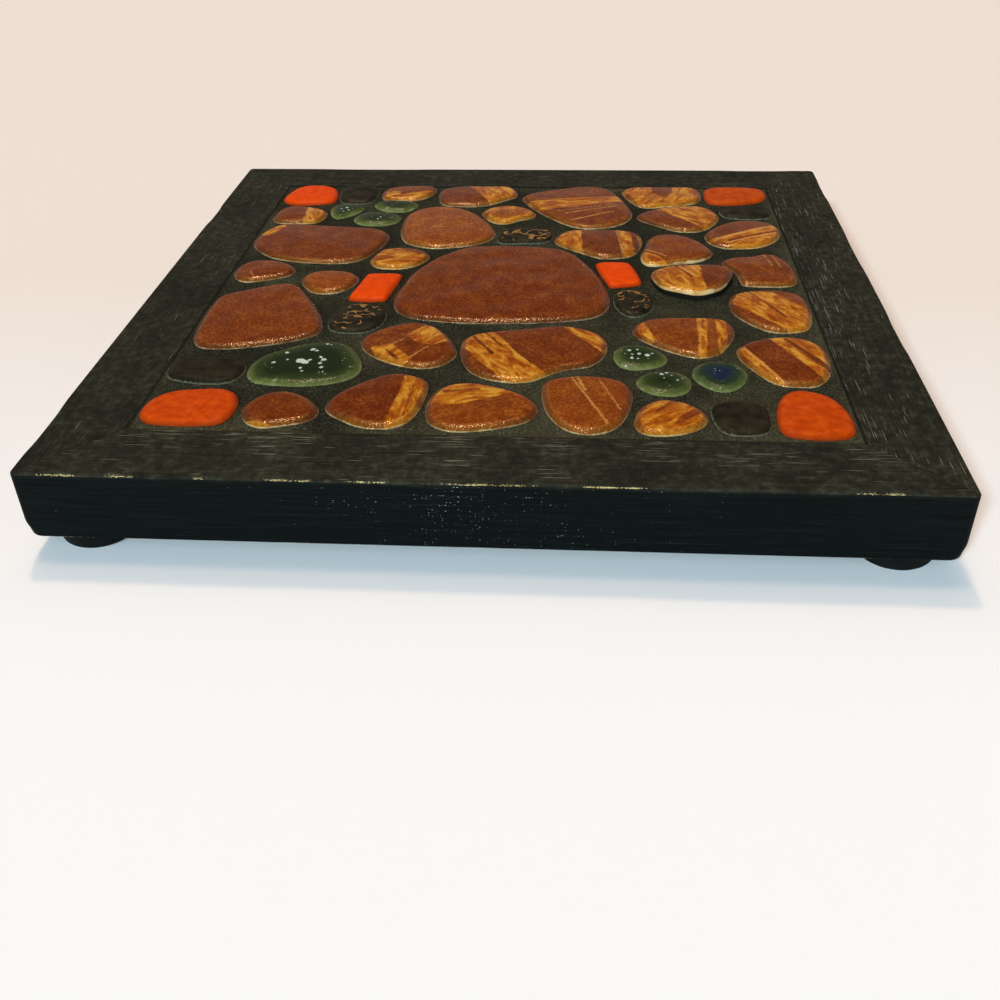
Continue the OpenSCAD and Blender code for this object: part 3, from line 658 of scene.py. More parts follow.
# %% Bands of the front pebbles
patterns.update({
    "striped_pebble_right_front": {
        "warmth_share": 0.45, "streak": -86,
        "tan_shares": [
            [(0.307, -0.12), (0.3235, -0.12), (0.3105, -0.28), (0.299, -0.28)],
            [(0.336, -0.12), (0.352, -0.12), (0.346, -0.27), (0.331, -0.27)],
            [(0.208, -0.15), (0.22, -0.152), (0.238, -0.215), (0.228, -0.225), (0.21, -0.19)]],
        "line_shares": [(0.312, -0.13, 0.3015, -0.27, 0.003)]},
    "patched_pebble_front": {
        "warmth_share": 0.2, "streak": 58,
        "tan_shares": [
            [(-0.15, -0.212), (-0.126, -0.18), (-0.104, -0.17), (-0.07, -0.225), (-0.106, -0.246),
             (-0.133, -0.238)],
            [(-0.2, -0.257), (-0.168, -0.245), (-0.155, -0.262), (-0.131, -0.289), (-0.147, -0.315),
             (-0.18, -0.295)]],
        "brown_shares": [[(-0.178, -0.26), (-0.172, -0.262), (-0.15, -0.292), (-0.156, -0.295)]],
        "line_shares": [
            (-0.112, -0.252, -0.138, -0.291, 0.0035), (-0.179, -0.262, -0.152, -0.226, 0.0035)]},
    "banded_pebble_front": {
        "warmth_share": 0.15, "streak": -50,
        "tan_shares": [
            [(-0.07, -0.19), (-0.02, -0.185), (0.0, -0.219), (0.032, -0.278), (0.078, -0.338),
             (0.06, -0.36), (0.011, -0.352), (-0.04, -0.278), (-0.065, -0.235)],
            [(0.083, -0.16), (0.157, -0.264), (0.17, -0.26), (0.17, -0.16)]],
        "brown_shares": [
            [(-0.048, -0.212), (-0.043, -0.21), (-0.008, -0.27), (-0.012, -0.275)],
            [(-0.028, -0.2), (-0.024, -0.2), (0.006, -0.25), (0.001, -0.25)]]},
    "striped_pebble_right_corner": {
        "warmth_share": 0.1, "streak": -64,
        "tan_shares": [
            [(0.4, -0.19), (0.412, -0.209), (0.476, -0.342), (0.5, -0.34), (0.5, -0.19)],
            [(0.35, -0.22), (0.371, -0.235), (0.421, -0.36), (0.38, -0.36), (0.35, -0.27)]],
        "brown_shares": [[(0.43, -0.205), (0.437, -0.205), (0.49, -0.3), (0.486, -0.315)]],
        "line_shares": [(0.369, -0.241, 0.414, -0.348, 0.006)]},
    "russet_pebble_front_left": {
        "warmth_share": 0.1, "streak": -40,
        "tan_shares": [
            [(-0.35, -0.472), (-0.3, -0.488), (-0.255, -0.48), (-0.26, -0.5), (-0.35, -0.5)]]},
    "half_tan_pebble_front": {
        "warmth_share": 0.05, "streak": -88,
        "tan_shares": [[(-0.131, -0.32), (-0.144, -0.5), (-0.08, -0.5), (-0.08, -0.32)]],
        "brown_shares": [[(-0.117, -0.34), (-0.114, -0.34), (-0.119, -0.46), (-0.122, -0.46)]]},
    "swirled_pebble_front": {
        "warmth_share": 0.5, "streak": 14,
        "tan_shares": [
            [(-0.1, -0.42), (-0.05, -0.428), (-0.01, -0.41), (0.03, -0.385), (0.0, -0.35),
             (-0.1, -0.35)]],
        "brown_shares": [[(-0.075, -0.388), (-0.02, -0.378), (-0.02, -0.384), (-0.07, -0.395)]]},
    "lined_pebble_front": {
        "warmth_share": 0.6, "streak": -70,
        "line_shares": [
            (0.11, -0.342, 0.16, -0.47, 0.004), (0.15, -0.348, 0.179, -0.433, 0.003),
            (0.118, -0.34, 0.13, -0.38, 0.005)]},
    "ochre_pebble_front": {
        "warmth_share": 0.5, "streak": 42, "tan_shares": [whole_shares],
        "brown_shares": [
            [(0.225, -0.44), (0.232, -0.435), (0.262, -0.405), (0.25, -0.4)],
            [(0.25, -0.47), (0.262, -0.465), (0.29, -0.435), (0.28, -0.425), (0.255, -0.455)]]},
})
print(len(patterns), "pebbles or groups have a pattern so far")

# %% Crystals of the green pebbles
patterns.update({
    "small_green_pebbles": {
        "spot_shares": [
            (-0.358, 0.345, 0.002), (-0.348, 0.35, 0.003), (-0.342, 0.338, 0.002),
            (-0.352, 0.331, 0.002), (-0.336, 0.345, 0.001), (-0.252, 0.377, 0.001),
            (-0.29, 0.304, 0.001), (-0.272, 0.3, 0.002), (-0.264, 0.306, 0.001),
            (-0.276, 0.29, 0.002)]},
    "large_green_pebble": {
        "spot_shares": [
            (-0.298, -0.305, 0.007), (-0.29, -0.309, 0.006), (-0.284, -0.302, 0.003),
            (-0.293, -0.328, 0.003), (-0.289, -0.337, 0.002), (-0.269, -0.292, 0.003),
            (-0.263, -0.3, 0.004), (-0.267, -0.311, 0.003), (-0.262, -0.324, 0.003),
            (-0.257, -0.338, 0.002), (-0.324, -0.278, 0.003), (-0.319, -0.302, 0.002),
            (-0.337, -0.311, 0.003), (-0.286, -0.268, 0.004), (-0.279, -0.272, 0.003),
            (-0.268, -0.247, 0.003), (-0.262, -0.251, 0.002), (-0.273, -0.276, 0.001),
            (-0.236, -0.318, 0.001), (-0.349, -0.318, 0.001)]},
    "small_green_pebble_right": {
        "spot_shares": [
            (0.196, -0.255, 0.003), (0.208, -0.253, 0.002), (0.2, -0.268, 0.002), (0.21, -0.266, 0.003),
            (0.222, -0.27, 0.004), (0.23, -0.264, 0.002), (0.199, -0.279, 0.003),
            (0.208, -0.281, 0.002), (0.223, -0.28, 0.001), (0.189, -0.266, 0.001)]},
    "green_pebble_right_front": {
        "spot_shares": [
            (0.232, -0.322, 0.002), (0.24, -0.329, 0.003), (0.248, -0.324, 0.002),
            (0.255, -0.331, 0.002), (0.243, -0.34, 0.001), (0.262, -0.346, 0.002),
            (0.27, -0.34, 0.001)]},
    "blue_green_pebble_right": {"spot_shares": [(0.318, -0.308, 0.001), (0.325, -0.316, 0.001)]},
})
print(len(patterns), "pebbles or groups have a pattern of their own")

# %% [markdown]
# The outline of each pebble
#
# A pebble stays exactly where its solid stands. The lowest ring of that solid is the pebble's outline, so
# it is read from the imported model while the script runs. The solid has only a few dozen points round it. A
# smooth curve through them, and the distance from the pebble's middle to that curve in each direction, give
# an outline as fine as wanted.

# %% Read the outlines
ROUNDING_DIGITS = 4
LEVEL_TOLERANCE_MM = 0.01
CURVE_STEPS = 8
POINT_SPACING_MM = 0.6
LEAST_POINTS = 96


def solids_of(node):
    """The points of each separate solid in a node, in mm.

    Each point has a label. Every triangle passes its lowest label to its corners, until no label changes.
    """
    mesh = nodes[node].data
    corners = np.empty(3 * len(mesh.vertices))
    mesh.vertices.foreach_get("co", corners)
    triangles = np.empty(len(mesh.loops), int)
    mesh.loops.foreach_get("vertex_index", triangles)
    places = (corners.reshape(-1, 3) / MM).round(ROUNDING_DIGITS)
    places, index = np.unique(places, axis=0, return_inverse=True)
    triangles = index.ravel()[triangles].reshape(-1, 3)
    labels = np.arange(len(places))
    settled = False
    while not settled:
        passed = labels.copy()
        np.minimum.at(passed, triangles, labels[triangles].min(axis=1)[:, None])
        settled = np.array_equal(passed, labels)
        labels = passed
    return [places[labels == label] for label in np.unique(labels)]


def smooth_loop(points):
    """A closed curve through the points.

    Between two points it is the cubic that heads, at each of them, along the line between its neighbours.
    """
    before, here, after, later = (np.roll(points, -shift, axis=0)[:, None] for shift in (-1, 0, 1, 2))
    t = (np.arange(CURVE_STEPS) / CURVE_STEPS)[None, :, None]
    bend = 2 * before - 5 * here + 4 * after - later
    twist = 3 * (here - after) + later - before
    return (here + t / 2 * (after - before + t * (bend + t * twist))).reshape(-1, 2)


def pebble_shape(solid):
    """The middle of a pebble, even directions round it, and the distance to the outline in each of them."""
    foot = solid[solid[:, 2] < solid[:, 2].min() + LEVEL_TOLERANCE_MM][:, :2]
    middle = foot.mean(axis=0)
    foot = foot[np.argsort(np.arctan2(*(foot - middle).T[::-1]))]
    curve = smooth_loop(foot) - middle
    perimeter = np.linalg.norm(curve - np.roll(curve, 1, axis=0), axis=1).sum()
    count = max(LEAST_POINTS, int(perimeter / POINT_SPACING_MM))
    directions = 2 * np.pi * np.arange(count) / count
    bearings = np.arctan2(curve[:, 1], curve[:, 0])
    reach = np.interp(directions, bearings, np.hypot(*curve.T), period=2 * np.pi)
    return {"middle": middle, "directions": directions, "reach": reach, "top": solid[:, 2].max()}


pebble_nodes = sorted(node for node, slot in slot_of_node.items() if slot.endswith("_glaze"))
shapes = {node: [pebble_shape(solid) for solid in solids_of(node)] for node in pebble_nodes}
all_shapes = [shape for group in shapes.values() for shape in group]
print(len(all_shapes), "pebbles in", len(shapes), "nodes")

# %% [markdown]
# The surface of a pebble
#
# A pebble could be a squashed sphere, but a real one is a flat pat of clay: upright at the side, round at
# the shoulder, and nearly level on top. So its surface is a stack of rings. Each ring is the outline drawn
# in by some distance, at some height. The shoulder is a quarter of an ellipse, and the top swells a little
# towards the middle. A slow ripple keeps the reflections from looking machined.

# %% Faces between rings
def ring_faces(rings, count):
    """Faces of a closed solid whose points are rings of one length, then a pole below and a pole above.

    Point i of a ring is joined to point i + 1, and to the same two points of the next ring. The first ring
    is joined to the lower pole and the last ring to the upper pole by triangles.
    """
    here = np.arange(count)
    after = (here + 1) % count
    start = (np.arange(rings - 1) * count)[:, None]
    quads = np.stack([start + here, start + after, start + after + count, start + here + count], axis=-1)
    lower_pole = np.full(count, rings * count)
    upper_pole = lower_pole + 1
    last = (rings - 1) * count
    below = np.stack([after, here, lower_pole], axis=-1)
    above = np.stack([last + here, last + after, upper_pole], axis=-1)
    return quads.reshape(-1, 4), np.concatenate([below, above])


# %% Pebble surface
SHOULDER_WIDTH_MM = 2.2
SHOULDER_HEIGHT_MM = 0.9
ARRIS_MM = 0.2
ARRIS_ANGLE = 60 * DEGREES
SWELL_MM = 0.3
RIPPLE_MM = 0.05
RIPPLE_LENGTH_MM = 14.0
SIDE_RINGS = 4
ARRIS_RINGS = 3
SHOULDER_RINGS = 9
LEAST_TOP_RINGS = 8
SIDE_TAPER_MM = 0.25
GLOW_FADE_MM = 3.6
FULL_GLOW_MM = 1.2
GLOW_NARROWING = 1.5


def pillow(shape, seed):
    """A pebble's points, how far in from the rim each one lies and how much painted glow it has, and the
    faces.

    The points are rings, from the panel up to the crown, and then the two poles.
    Side: the outline, drawn in a little at the bottom, from the panel up to the rim. Rim: an arc of sixty
    degrees. Shoulder: at share t of its width it has risen by height * (1 - (1 - t) ** 2). Top: the rest of
    the way to the middle, raised by swell * (1 - q * q), where q is the share of the reach that is left.
    In direction u a painted glow has the strength (-sin u) ** 1.5, on the side towards -Y: painted light
    that shines through the glaze at the front.
    """
    reach = shape["reach"]
    count = len(reach)
    base = shape["top"] - SWELL_MM - SHOULDER_HEIGHT_MM

    # How far each ring is drawn in, and its height: side, rim, shoulder and top
    up = np.linspace(0, 1, SIDE_RINGS, endpoint=False)[:, None]
    angle = np.linspace(0, ARRIS_ANGLE, ARRIS_RINGS)[:, None]
    t = np.linspace(0, 1, SHOULDER_RINGS)[1:, None]
    steps = max(LEAST_TOP_RINGS, int(reach.mean() / POINT_SPACING_MM))
    onward = np.linspace(0, 1, steps, endpoint=False)[1:, None]
    drawn_in = np.concatenate([
        SIDE_TAPER_MM * (1 - up) + 0 * reach,
        ARRIS_MM * (1 - np.cos(angle)) + 0 * reach,
        ARRIS_MM + SHOULDER_WIDTH_MM * t + 0 * reach,
        ARRIS_MM + SHOULDER_WIDTH_MM + onward * (reach - ARRIS_MM - SHOULDER_WIDTH_MM)])
    height = np.concatenate([
        panel_top + up * (base - ARRIS_MM - panel_top),
        base - ARRIS_MM + ARRIS_MM * np.sin(angle),
        base + SHOULDER_HEIGHT_MM * (1 - (1 - t) ** 2),
        base + SHOULDER_HEIGHT_MM + 0 * onward])

    # The points of the rings, with the swell and the ripple, and the two poles
    distance = reach - drawn_in
    x = shape["middle"][0] + distance * np.cos(shape["directions"])
    y = shape["middle"][1] + distance * np.sin(shape["directions"])
    rings = np.stack([x, y, height + SWELL_MM * (1 - (distance / reach) ** 2)], axis=-1)
    on_top = ramp(drawn_in, 0, SHOULDER_WIDTH_MM)
    rings[..., 2] += RIPPLE_MM * on_top * (ripple(rings, RIPPLE_LENGTH_MM, seed) - 1)
    poles = np.array([[*shape["middle"], panel_top], [*shape["middle"], rings[-1, :, 2].mean()]])
    points = np.concatenate([rings.reshape(-1, 3), poles])

    # The distance in from the rim, below zero on the side, and the painted glow on the front side
    edge = drawn_in + np.minimum(height - base + ARRIS_MM, 0)
    edges = np.concatenate([edge.ravel(), [panel_top - base, reach.min()]])
    front_side = np.clip(-np.sin(shape["directions"]), 0, 1) ** GLOW_NARROWING
    painted_glow = front_side * (1 - ramp(drawn_in, FULL_GLOW_MM, GLOW_FADE_MM))
    painted_glows = np.concatenate([painted_glow.ravel(), [0, 0]])
    quads, triangles = ring_faces(len(rings), count)
    return points, edges, painted_glows, quads, triangles


# %% [markdown]
# Distances to a pattern
#
# For a crisp band, the mesh stores how deep each point lies inside the band, in millimetres, and below
# zero outside it. That depth is the least distance to the band's sides. Its sign comes from how often a
# straight line from the point crosses those sides: an odd number of times means inside.

# %% Depth inside an area, a line or a spot
def distance_to_segments(points, starts, ends):
    """The distance from each point to each segment, at the nearest share t along it, with t from 0 to 1."""
    along = ends - starts
    offset = points[:, None] - starts
    t = np.clip((offset * along).sum(axis=-1) / (along * along).sum(axis=-1), 0, 1)
    return np.linalg.norm(offset - t[..., None] * along, axis=-1)


def depth_in_area(points, area_shares):
    """How deep each point is inside an area given by its corners, below zero outside it."""
    starts = np.array(area_shares) * mosaic_width
    ends = np.roll(starts, -1, axis=0)
    nearest = distance_to_segments(points, starts, ends).min(axis=1)
    low, high = points[:, None, 1] < starts[:, 1], points[:, None, 1] < ends[:, 1]
    rise = np.where(ends[:, 1] == starts[:, 1], 1, ends[:, 1] - starts[:, 1])
    cross_x = starts[:, 0] + (points[:, None, 1] - starts[:, 1]) * (ends[:, 0] - starts[:, 0]) / rise
    crossings = ((low != high) & (points[:, None, 0] < cross_x)).sum(axis=1)
    return np.where(crossings % 2 == 1, nearest, -nearest)


def depth_in_areas(points, areas):
    """How deep each point is inside the nearest of some areas."""
    return np.max([depth_in_area(points, area) for area in areas], axis=0)


def depth_in_lines(points, line_shares):
    """How deep each point is inside the nearest of some lines, each with its two ends and its width."""
    lines = np.array(line_shares) * mosaic_width
    return (lines[:, 4] / 2 - distance_to_segments(points, lines[:, 0:2], lines[:, 2:4])).max(axis=1)


def depth_in_spots(points, spot_shares):
    """How deep each point is inside the nearest of some round spots, each with its middle and radius."""
    spots = np.array(spot_shares) * mosaic_width
    return (spots[:, 2] - np.linalg.norm(points[:, None] - spots[:, :2], axis=-1)).max(axis=1)


# %% What a glaze reads at each point
FAR_MM = 99.0
DEFAULT_GLOW_STRENGTH = 0.8


def pattern_attributes(points, edges, painted_glows, pattern, seed):
    """The values that the glazes read at each point of a pebble."""
    plan = points[:, :2]

    def depth(key, measure):
        """The depth in what the pattern lists under the key, or far outside where it lists nothing."""
        return measure(plan, pattern[key]) if key in pattern else np.full(len(plan), -FAR_MM)

    turn = pattern.get("streak", 0) * DEGREES
    turned = plan @ np.array([[np.cos(turn), -np.sin(turn)], [np.sin(turn), np.cos(turn)]])
    return {
        "glaze_mm": np.column_stack([turned, points[:, 2] + FAR_MM * seed]),
        "edge_mm": edges,
        # A painted glow on the front side, and how far the lip reaches there
        "painted_glow_share": np.clip(painted_glows * pattern.get("glow_strength", DEFAULT_GLOW_STRENGTH), 0, 1),
        "lip_mm": painted_glows * pattern.get("lip_mm", 0.0),
        "tan_mm": np.minimum(depth("tan_shares", depth_in_areas), -depth("brown_shares", depth_in_areas)),
        "line_mm": depth("line_shares", depth_in_lines),
        "spot_mm": depth("spot_shares", depth_in_spots),
        "warmth_share": np.full(len(plan), pattern.get("warmth_share", 0.0)),
    }


# %% Make the pebbles
glaze_of_slot = {
    "orange_glaze": satin_orange,
    "russet_glaze": brown_glaze,
    "honey_glaze": brown_glaze,
    "tan_glaze": brown_glaze,
    "green_glaze": green_crystal,
    "blue_green_glaze": blue_green_crystal,
    "black_glaze": plain_black,
}


def make_pebbles(node, seed):
    """All the pebbles of one node as one piece, with their attributes and their glaze."""
    points, edges, painted_glows, faces = [], [], [], []
    for shape in shapes[node]:
        start = sum(len(part) for part in points)
        new_points, new_edges, new_painted_glows, quads, triangles = pillow(shape, seed)
        points.append(new_points)
        edges.append(new_edges)
        painted_glows.append(new_painted_glows)
        faces += (quads + start).tolist() + (triangles + start).tolist()
    points, edges, painted_glows = np.concatenate(points), np.concatenate(edges), np.concatenate(painted_glows)
    attributes = pattern_attributes(points, edges, painted_glows, patterns.get(node, {}), seed)
    glaze = marked_black if node.startswith("marked_black") else glaze_of_slot[slot_of_node[node]]
    return make_piece(node + "_glazed", points, faces, attributes, glaze, node)


pebbles = [make_pebbles(node, seed) for seed, node in enumerate(pebble_nodes)]
print(sum(len(piece.data.polygons) for piece in pebbles), "faces in", len(pebbles), "pieces of mosaic")

# %% [markdown]
# Grout
#
# The grout is a little paler in front and near the rails. A painted shade runs along the rails: a dark
# hairline where the grout meets the wood. The grout climbs a little at every pebble and at the frame, and
# sags where there is more room. That is a height above a plane, so a grid of points is enough. For each grid
# point, the clear distance to the nearest pebble is measured along the line from that pebble's middle. Under
# the pebbles the surface drops into their pockets, out of sight.

# %% Sanded cement grout
SAND_MM = 0.5
SAND_BUMP_MM = 0.18
DAMP_MM = 28.0
PALER_REACH_MM = 110.0
PALER_TILT = 0.3
BORDER_MM = 7.0
EDGE_SHADE_MM = 0.7
FULL_EDGE_SHADE_MM = 0.35


def sanded_grout():
    """Dark cement and paler sand, lighter in front and near the rails, with a painted shade beside the
    rails: a dark hairline.
    """
    material, shader = new_material("sanded_cement_grout")
    place = add(material, "TexCoord", {}, "Object")
    place = add(material, "VectorMath", {0: place, "Scale": 1 / MM}, operation="SCALE")
    sand = add(material, "TexNoise", {
        "Vector": place, "Scale": 1 / SAND_MM, "Detail": 3.0, "Roughness": 0.75})
    damp = add(material, "TexNoise", {
        "Vector": place, "Scale": 1 / DAMP_MM, "Detail": 4.0, "Roughness": 0.6})
    place_x = add(material, "SeparateXYZ", {"Vector": place}, "X")
    place_y = add(material, "SeparateXYZ", {"Vector": place}, "Y")

    # It is paler towards the front right corner
    towards_back = add(material, "Math", {
        0: place_x, 1: -PALER_TILT, 2: place_y}, operation="MULTIPLY_ADD")
    paler_front_right = add(material, "MapRange", {
        "Value": towards_back, "From Min": -PALER_REACH_MM, "From Max": 0.0, "To Min": 0.14,
        "To Max": 0.0})
    damp = add(material, "Math", {0: damp, 1: paler_front_right}, operation="ADD")

    # It is paler near the rails too. The distance out is the larger of X and Y, whatever their signs.
    out_x = add(material, "Math", {0: place_x}, operation="ABSOLUTE")
    out_y = add(material, "Math", {0: place_y}, operation="ABSOLUTE")
    outward = add(material, "Math", {0: out_x, 1: out_y}, operation="MAXIMUM")
    border = add(material, "MapRange", {
        "Value": outward, "From Min": mosaic_half - BORDER_MM, "From Max": mosaic_half, "To Max": 0.16})
    damp = add(material, "Math", {0: damp, 1: border}, operation="ADD")
    cement = add(material, "ValToRGB", {"Fac": damp}, stops=[
        (0.38, "#17170d"), (0.54, "#201f13"), (0.76, "#343221")])

    # Grains of sand show most where the grout is paler
    grains = add(material, "MapRange", {"Value": sand, "From Min": 0.5, "From Max": 0.68})
    sand_showing = add(material, "MapRange", {
        "Value": damp, "From Min": 0.44, "From Max": 0.68, "To Min": 0.25, "To Max": 0.55})
    grains = add(material, "Math", {0: grains, 1: sand_showing}, operation="MULTIPLY")
    body = add(material, "Mix", {
        MIX_FACTOR: grains, MIX_A: cement, MIX_B: colour("#75705a")}, data_type="RGBA")
    # Painted shade: a dark hairline where the grout meets the rails
    painted_edge_shade = add(material, "MapRange", {
        "Value": outward, "From Min": mosaic_half - EDGE_SHADE_MM, "From Max": mosaic_half - FULL_EDGE_SHADE_MM,
        "To Max": 0.8})
    body = add(material, "Mix", {
        MIX_FACTOR: painted_edge_shade, MIX_A: body, MIX_B: colour("#0b0c08")}, data_type="RGBA")
    bump = add(material, "Bump", {"Strength": 0.8, "Distance": SAND_BUMP_MM * MM, "Height": sand})
    return finish_material(material, shader, body, bump, {"Roughness": 0.9, "Specular IOR Level": 0.1})


wiped_cement = sanded_grout()
print("material", wiped_cement.name, "with", len(wiped_cement.node_tree.nodes), "nodes")

# %% Grout surface
GROUT_SPACING_MM = 0.75
CLIMB_MM = 0.5
CLIMB_LENGTH_MM = 0.8
SAG_MM = 0.5
SAG_LENGTH_MM = 3.0
POCKET_START_MM = 0.6
POCKET_FLOOR_MM = 0.4
UNEVEN_MM = 0.07
UNEVEN_LENGTH_MM = 5.0
UNEVEN_START_MM = 1.0
GROUT_SEED = 1


def clear_distance(plan):
    """The least distance from each point of the plan to an outline, along the line from its middle."""
    clear = np.full(plan.shape[:-1], FAR_MM)
    for shape in all_shapes:
        offset = plan - shape["middle"]
        direction = np.arctan2(offset[..., 1], offset[..., 0])
        reach = np.interp(direction, shape["directions"], shape["reach"], period=2 * np.pi)
        clear = np.minimum(clear, np.hypot(offset[..., 0], offset[..., 1]) - reach)
    return clear


def grout_surface():
    """Points on a square grid, then the four lower corners, and the faces of the closed slab.

    Height: the grout's level, plus climb * exp(-d / climb length), less sag * (1 - exp(-d / sag length)),
    where d is the clear distance to the nearest pebble or rail. Inside a pebble it is the pocket's floor.
    """
    count = int(mosaic_width / GROUT_SPACING_MM) + 1
    line = np.linspace(-mosaic_half, mosaic_half, count)
    plan = np.stack(np.meshgrid(line, line), axis=-1)
    to_pebble = clear_distance(plan)
    to_rail = mosaic_half - np.abs(plan).max(axis=-1)
    clear = np.maximum(np.minimum(to_pebble, to_rail), 0)
    height = grout_top + CLIMB_MM * np.exp(-clear / CLIMB_LENGTH_MM)
    height -= SAG_MM * (1 - np.exp(-clear / SAG_LENGTH_MM))
    uneven = ripple(plan, UNEVEN_LENGTH_MM, GROUT_SEED) - 1
    height += UNEVEN_MM * uneven * ramp(clear, 0, UNEVEN_START_MM)
    height = np.where(to_pebble < -POCKET_START_MM, panel_top + POCKET_FLOOR_MM, height)
    grid = np.concatenate([plan, height[..., None]], axis=-1).reshape(-1, 3)
    corners = np.array([[x * mosaic_half, y * mosaic_half, panel_top] for x, y in CORNER_SHARES])
    number = np.arange(count * count).reshape(count, count)
    quads = np.stack([number[:-1, :-1], number[:-1, 1:], number[1:, 1:], number[1:, :-1]], axis=-1)
    sides = [number[0], number[:, -1], number[-1, ::-1], number[::-1, 0]]
    first = count * count
    walls = [[first + i, first + (i + 1) % 4, *side[::-1].tolist()] for i, side in enumerate(sides)]
    floor = [[first, first + 3, first + 2, first + 1]]
    return np.concatenate([grid, corners]), quads.reshape(-1, 4).tolist() + walls + floor


grout_points, grout_faces = grout_surface()
grout = make_piece("sponged_grout", grout_points, grout_faces, {}, wiped_cement, "grout")
print("grout has", len(grout.data.vertices), "points")

# %% [markdown]
# Stained rails
#
# The rails are planed hardwood with an open grain, brushed with a thin black stain and left unvarnished.
# The stain went deep into the pores, and the brush and later cloths left fine pale lines along the wood.
# The sharp upper edge has been knocked and rubbed until bare wood shows in places. On the mesh, wood_mm
# gives the place along the rail and round its section, so that the grain runs along every rail. The
# attribute worn_share says where the edge is rubbed, and scuffed_share how many pale lines the top has.

# %% Stain and scratches
def stain_and_top_sheen(material, pores, mottle, patch, top):
    """Deep black on the sides, and a dark olive brown in patches on the top: partly rubbed stain and partly
    painted sheen.
    """
    side_colour = add(material, "ValToRGB", {"Fac": pores}, stops=[
        (0.35, "#020504"), (0.5, "#060c0b"), (0.68, "#121918")])
    rubbed_top_and_sheen = add(material, "ValToRGB", {"Fac": mottle}, stops=[
        (0.38, "#1b1910"), (0.5, "#2b2a20"), (0.62, "#454534")])
    # Lighter on the top, in patches: partly rubbed stain and partly painted sheen
    rub_and_sheen = add(material, "MapRange", {
        "Value": patch, "From Min": 0.3, "From Max": 0.6, "To Min": 0.45, "To Max": 1.0})
    rub_and_sheen = add(material, "Math", {0: rub_and_sheen, 1: top}, operation="MULTIPLY")
    return add(material, "Mix", {
        MIX_FACTOR: rub_and_sheen, MIX_A: side_colour, MIX_B: rubbed_top_and_sheen}, data_type="RGBA")


def pale_scratches(material, body, scratch, patch, top):
    """Fine pale lines on the top, where scratch, patch and scuffed_share add up."""
    scuffed = add(material, "Attribute", {}, "Fac", attribute_name="scuffed_share")
    crowd = add(material, "Math", {0: patch, 1: 0.35, 2: scratch}, operation="MULTIPLY_ADD")
    crowd = add(material, "Math", {0: scuffed, 1: 0.16, 2: crowd}, operation="MULTIPLY_ADD")
    pale = add(material, "MapRange", {"Value": crowd, "From Min": 0.96, "From Max": 0.99, "To Max": 0.75})
    pale = add(material, "Math", {0: pale, 1: top}, operation="MULTIPLY")
    return add(material, "Mix", {
        MIX_FACTOR: pale, MIX_A: body, MIX_B: colour("#8f8b7a")}, data_type="RGBA")


# %% Dust and bare wood
DUSTY_REACH_MM = 90.0


def dusty_specks(material, body, place, speck, pores, patch, top):
    """Pale specks of dust in the grain of the sides, most of them near the middle of the rail."""
    along = add(material, "SeparateXYZ", {"Vector": place}, "X")
    along = add(material, "Math", {0: along}, operation="ABSOLUTE")
    central = add(material, "MapRange", {
        "Value": along, "From Max": DUSTY_REACH_MM, "To Min": 0.08, "To Max": -0.08})
    crowd = add(material, "Math", {0: patch, 1: 0.2, 2: speck}, operation="MULTIPLY_ADD")
    crowd = add(material, "Math", {0: crowd, 1: central}, operation="ADD")
    crowd = add(material, "Math", {0: pores, 1: 0.7, 2: crowd}, operation="MULTIPLY_ADD")
    dust = add(material, "MapRange", {"Value": crowd, "From Min": 1.33, "From Max": 1.38, "To Max": 0.9})
    below = add(material, "Math", {0: 1.0, 1: top}, operation="SUBTRACT")
    dust = add(material, "Math", {0: dust, 1: below}, operation="MULTIPLY")
    return add(material, "Mix", {
        MIX_FACTOR: dust, MIX_A: body, MIX_B: colour("#bcc4c2")}, data_type="RGBA")


def bare_edge(material, body, mottle, speck, pores):
    """Bare tan wood where wear, mottle, specks and closeness to the edge add up."""
    worn = add(material, "Attribute", {}, "Fac", attribute_name="worn_share")
    edge = add(material, "Attribute", {}, "Fac", attribute_name="edge_mm")
    rub = add(material, "Math", {0: mottle, 1: 3.0, 2: worn}, operation="MULTIPLY_ADD")
    rub = add(material, "Math", {0: speck, 1: 1.2, 2: rub}, operation="MULTIPLY_ADD")
    rub = add(material, "Math", {0: edge, 1: -3.2, 2: rub}, operation="MULTIPLY_ADD")
    bare = add(material, "MapRange", {"Value": rub, "From Min": 1.85, "From Max": 2.05, "To Max": 0.9})
    wood = add(material, "ValToRGB", {"Fac": pores}, stops=[(0.4, "#a07c46"), (0.6, "#d6c78c")])
    return add(material, "Mix", {MIX_FACTOR: bare, MIX_A: body, MIX_B: wood}, data_type="RGBA")


# %% Open-grained stained wood
# Real pores and scratches are down to 0.1 mm wide. They are drawn wider, because so fine they wouldn't show.
GRAIN_LENGTH_MM = 30.0
GRAIN_WIDTH_MM = 0.45
SCRATCH_LENGTH_MM = 12.0
SCRATCH_WIDTH_MM = 0.28
SPECK_LENGTH_MM = 0.45
SPECK_WIDTH_MM = 0.28
MOTTLE_MM = 3.0
PATCH_MM = 22.0
WOOD_BUMP_MM = 0.12


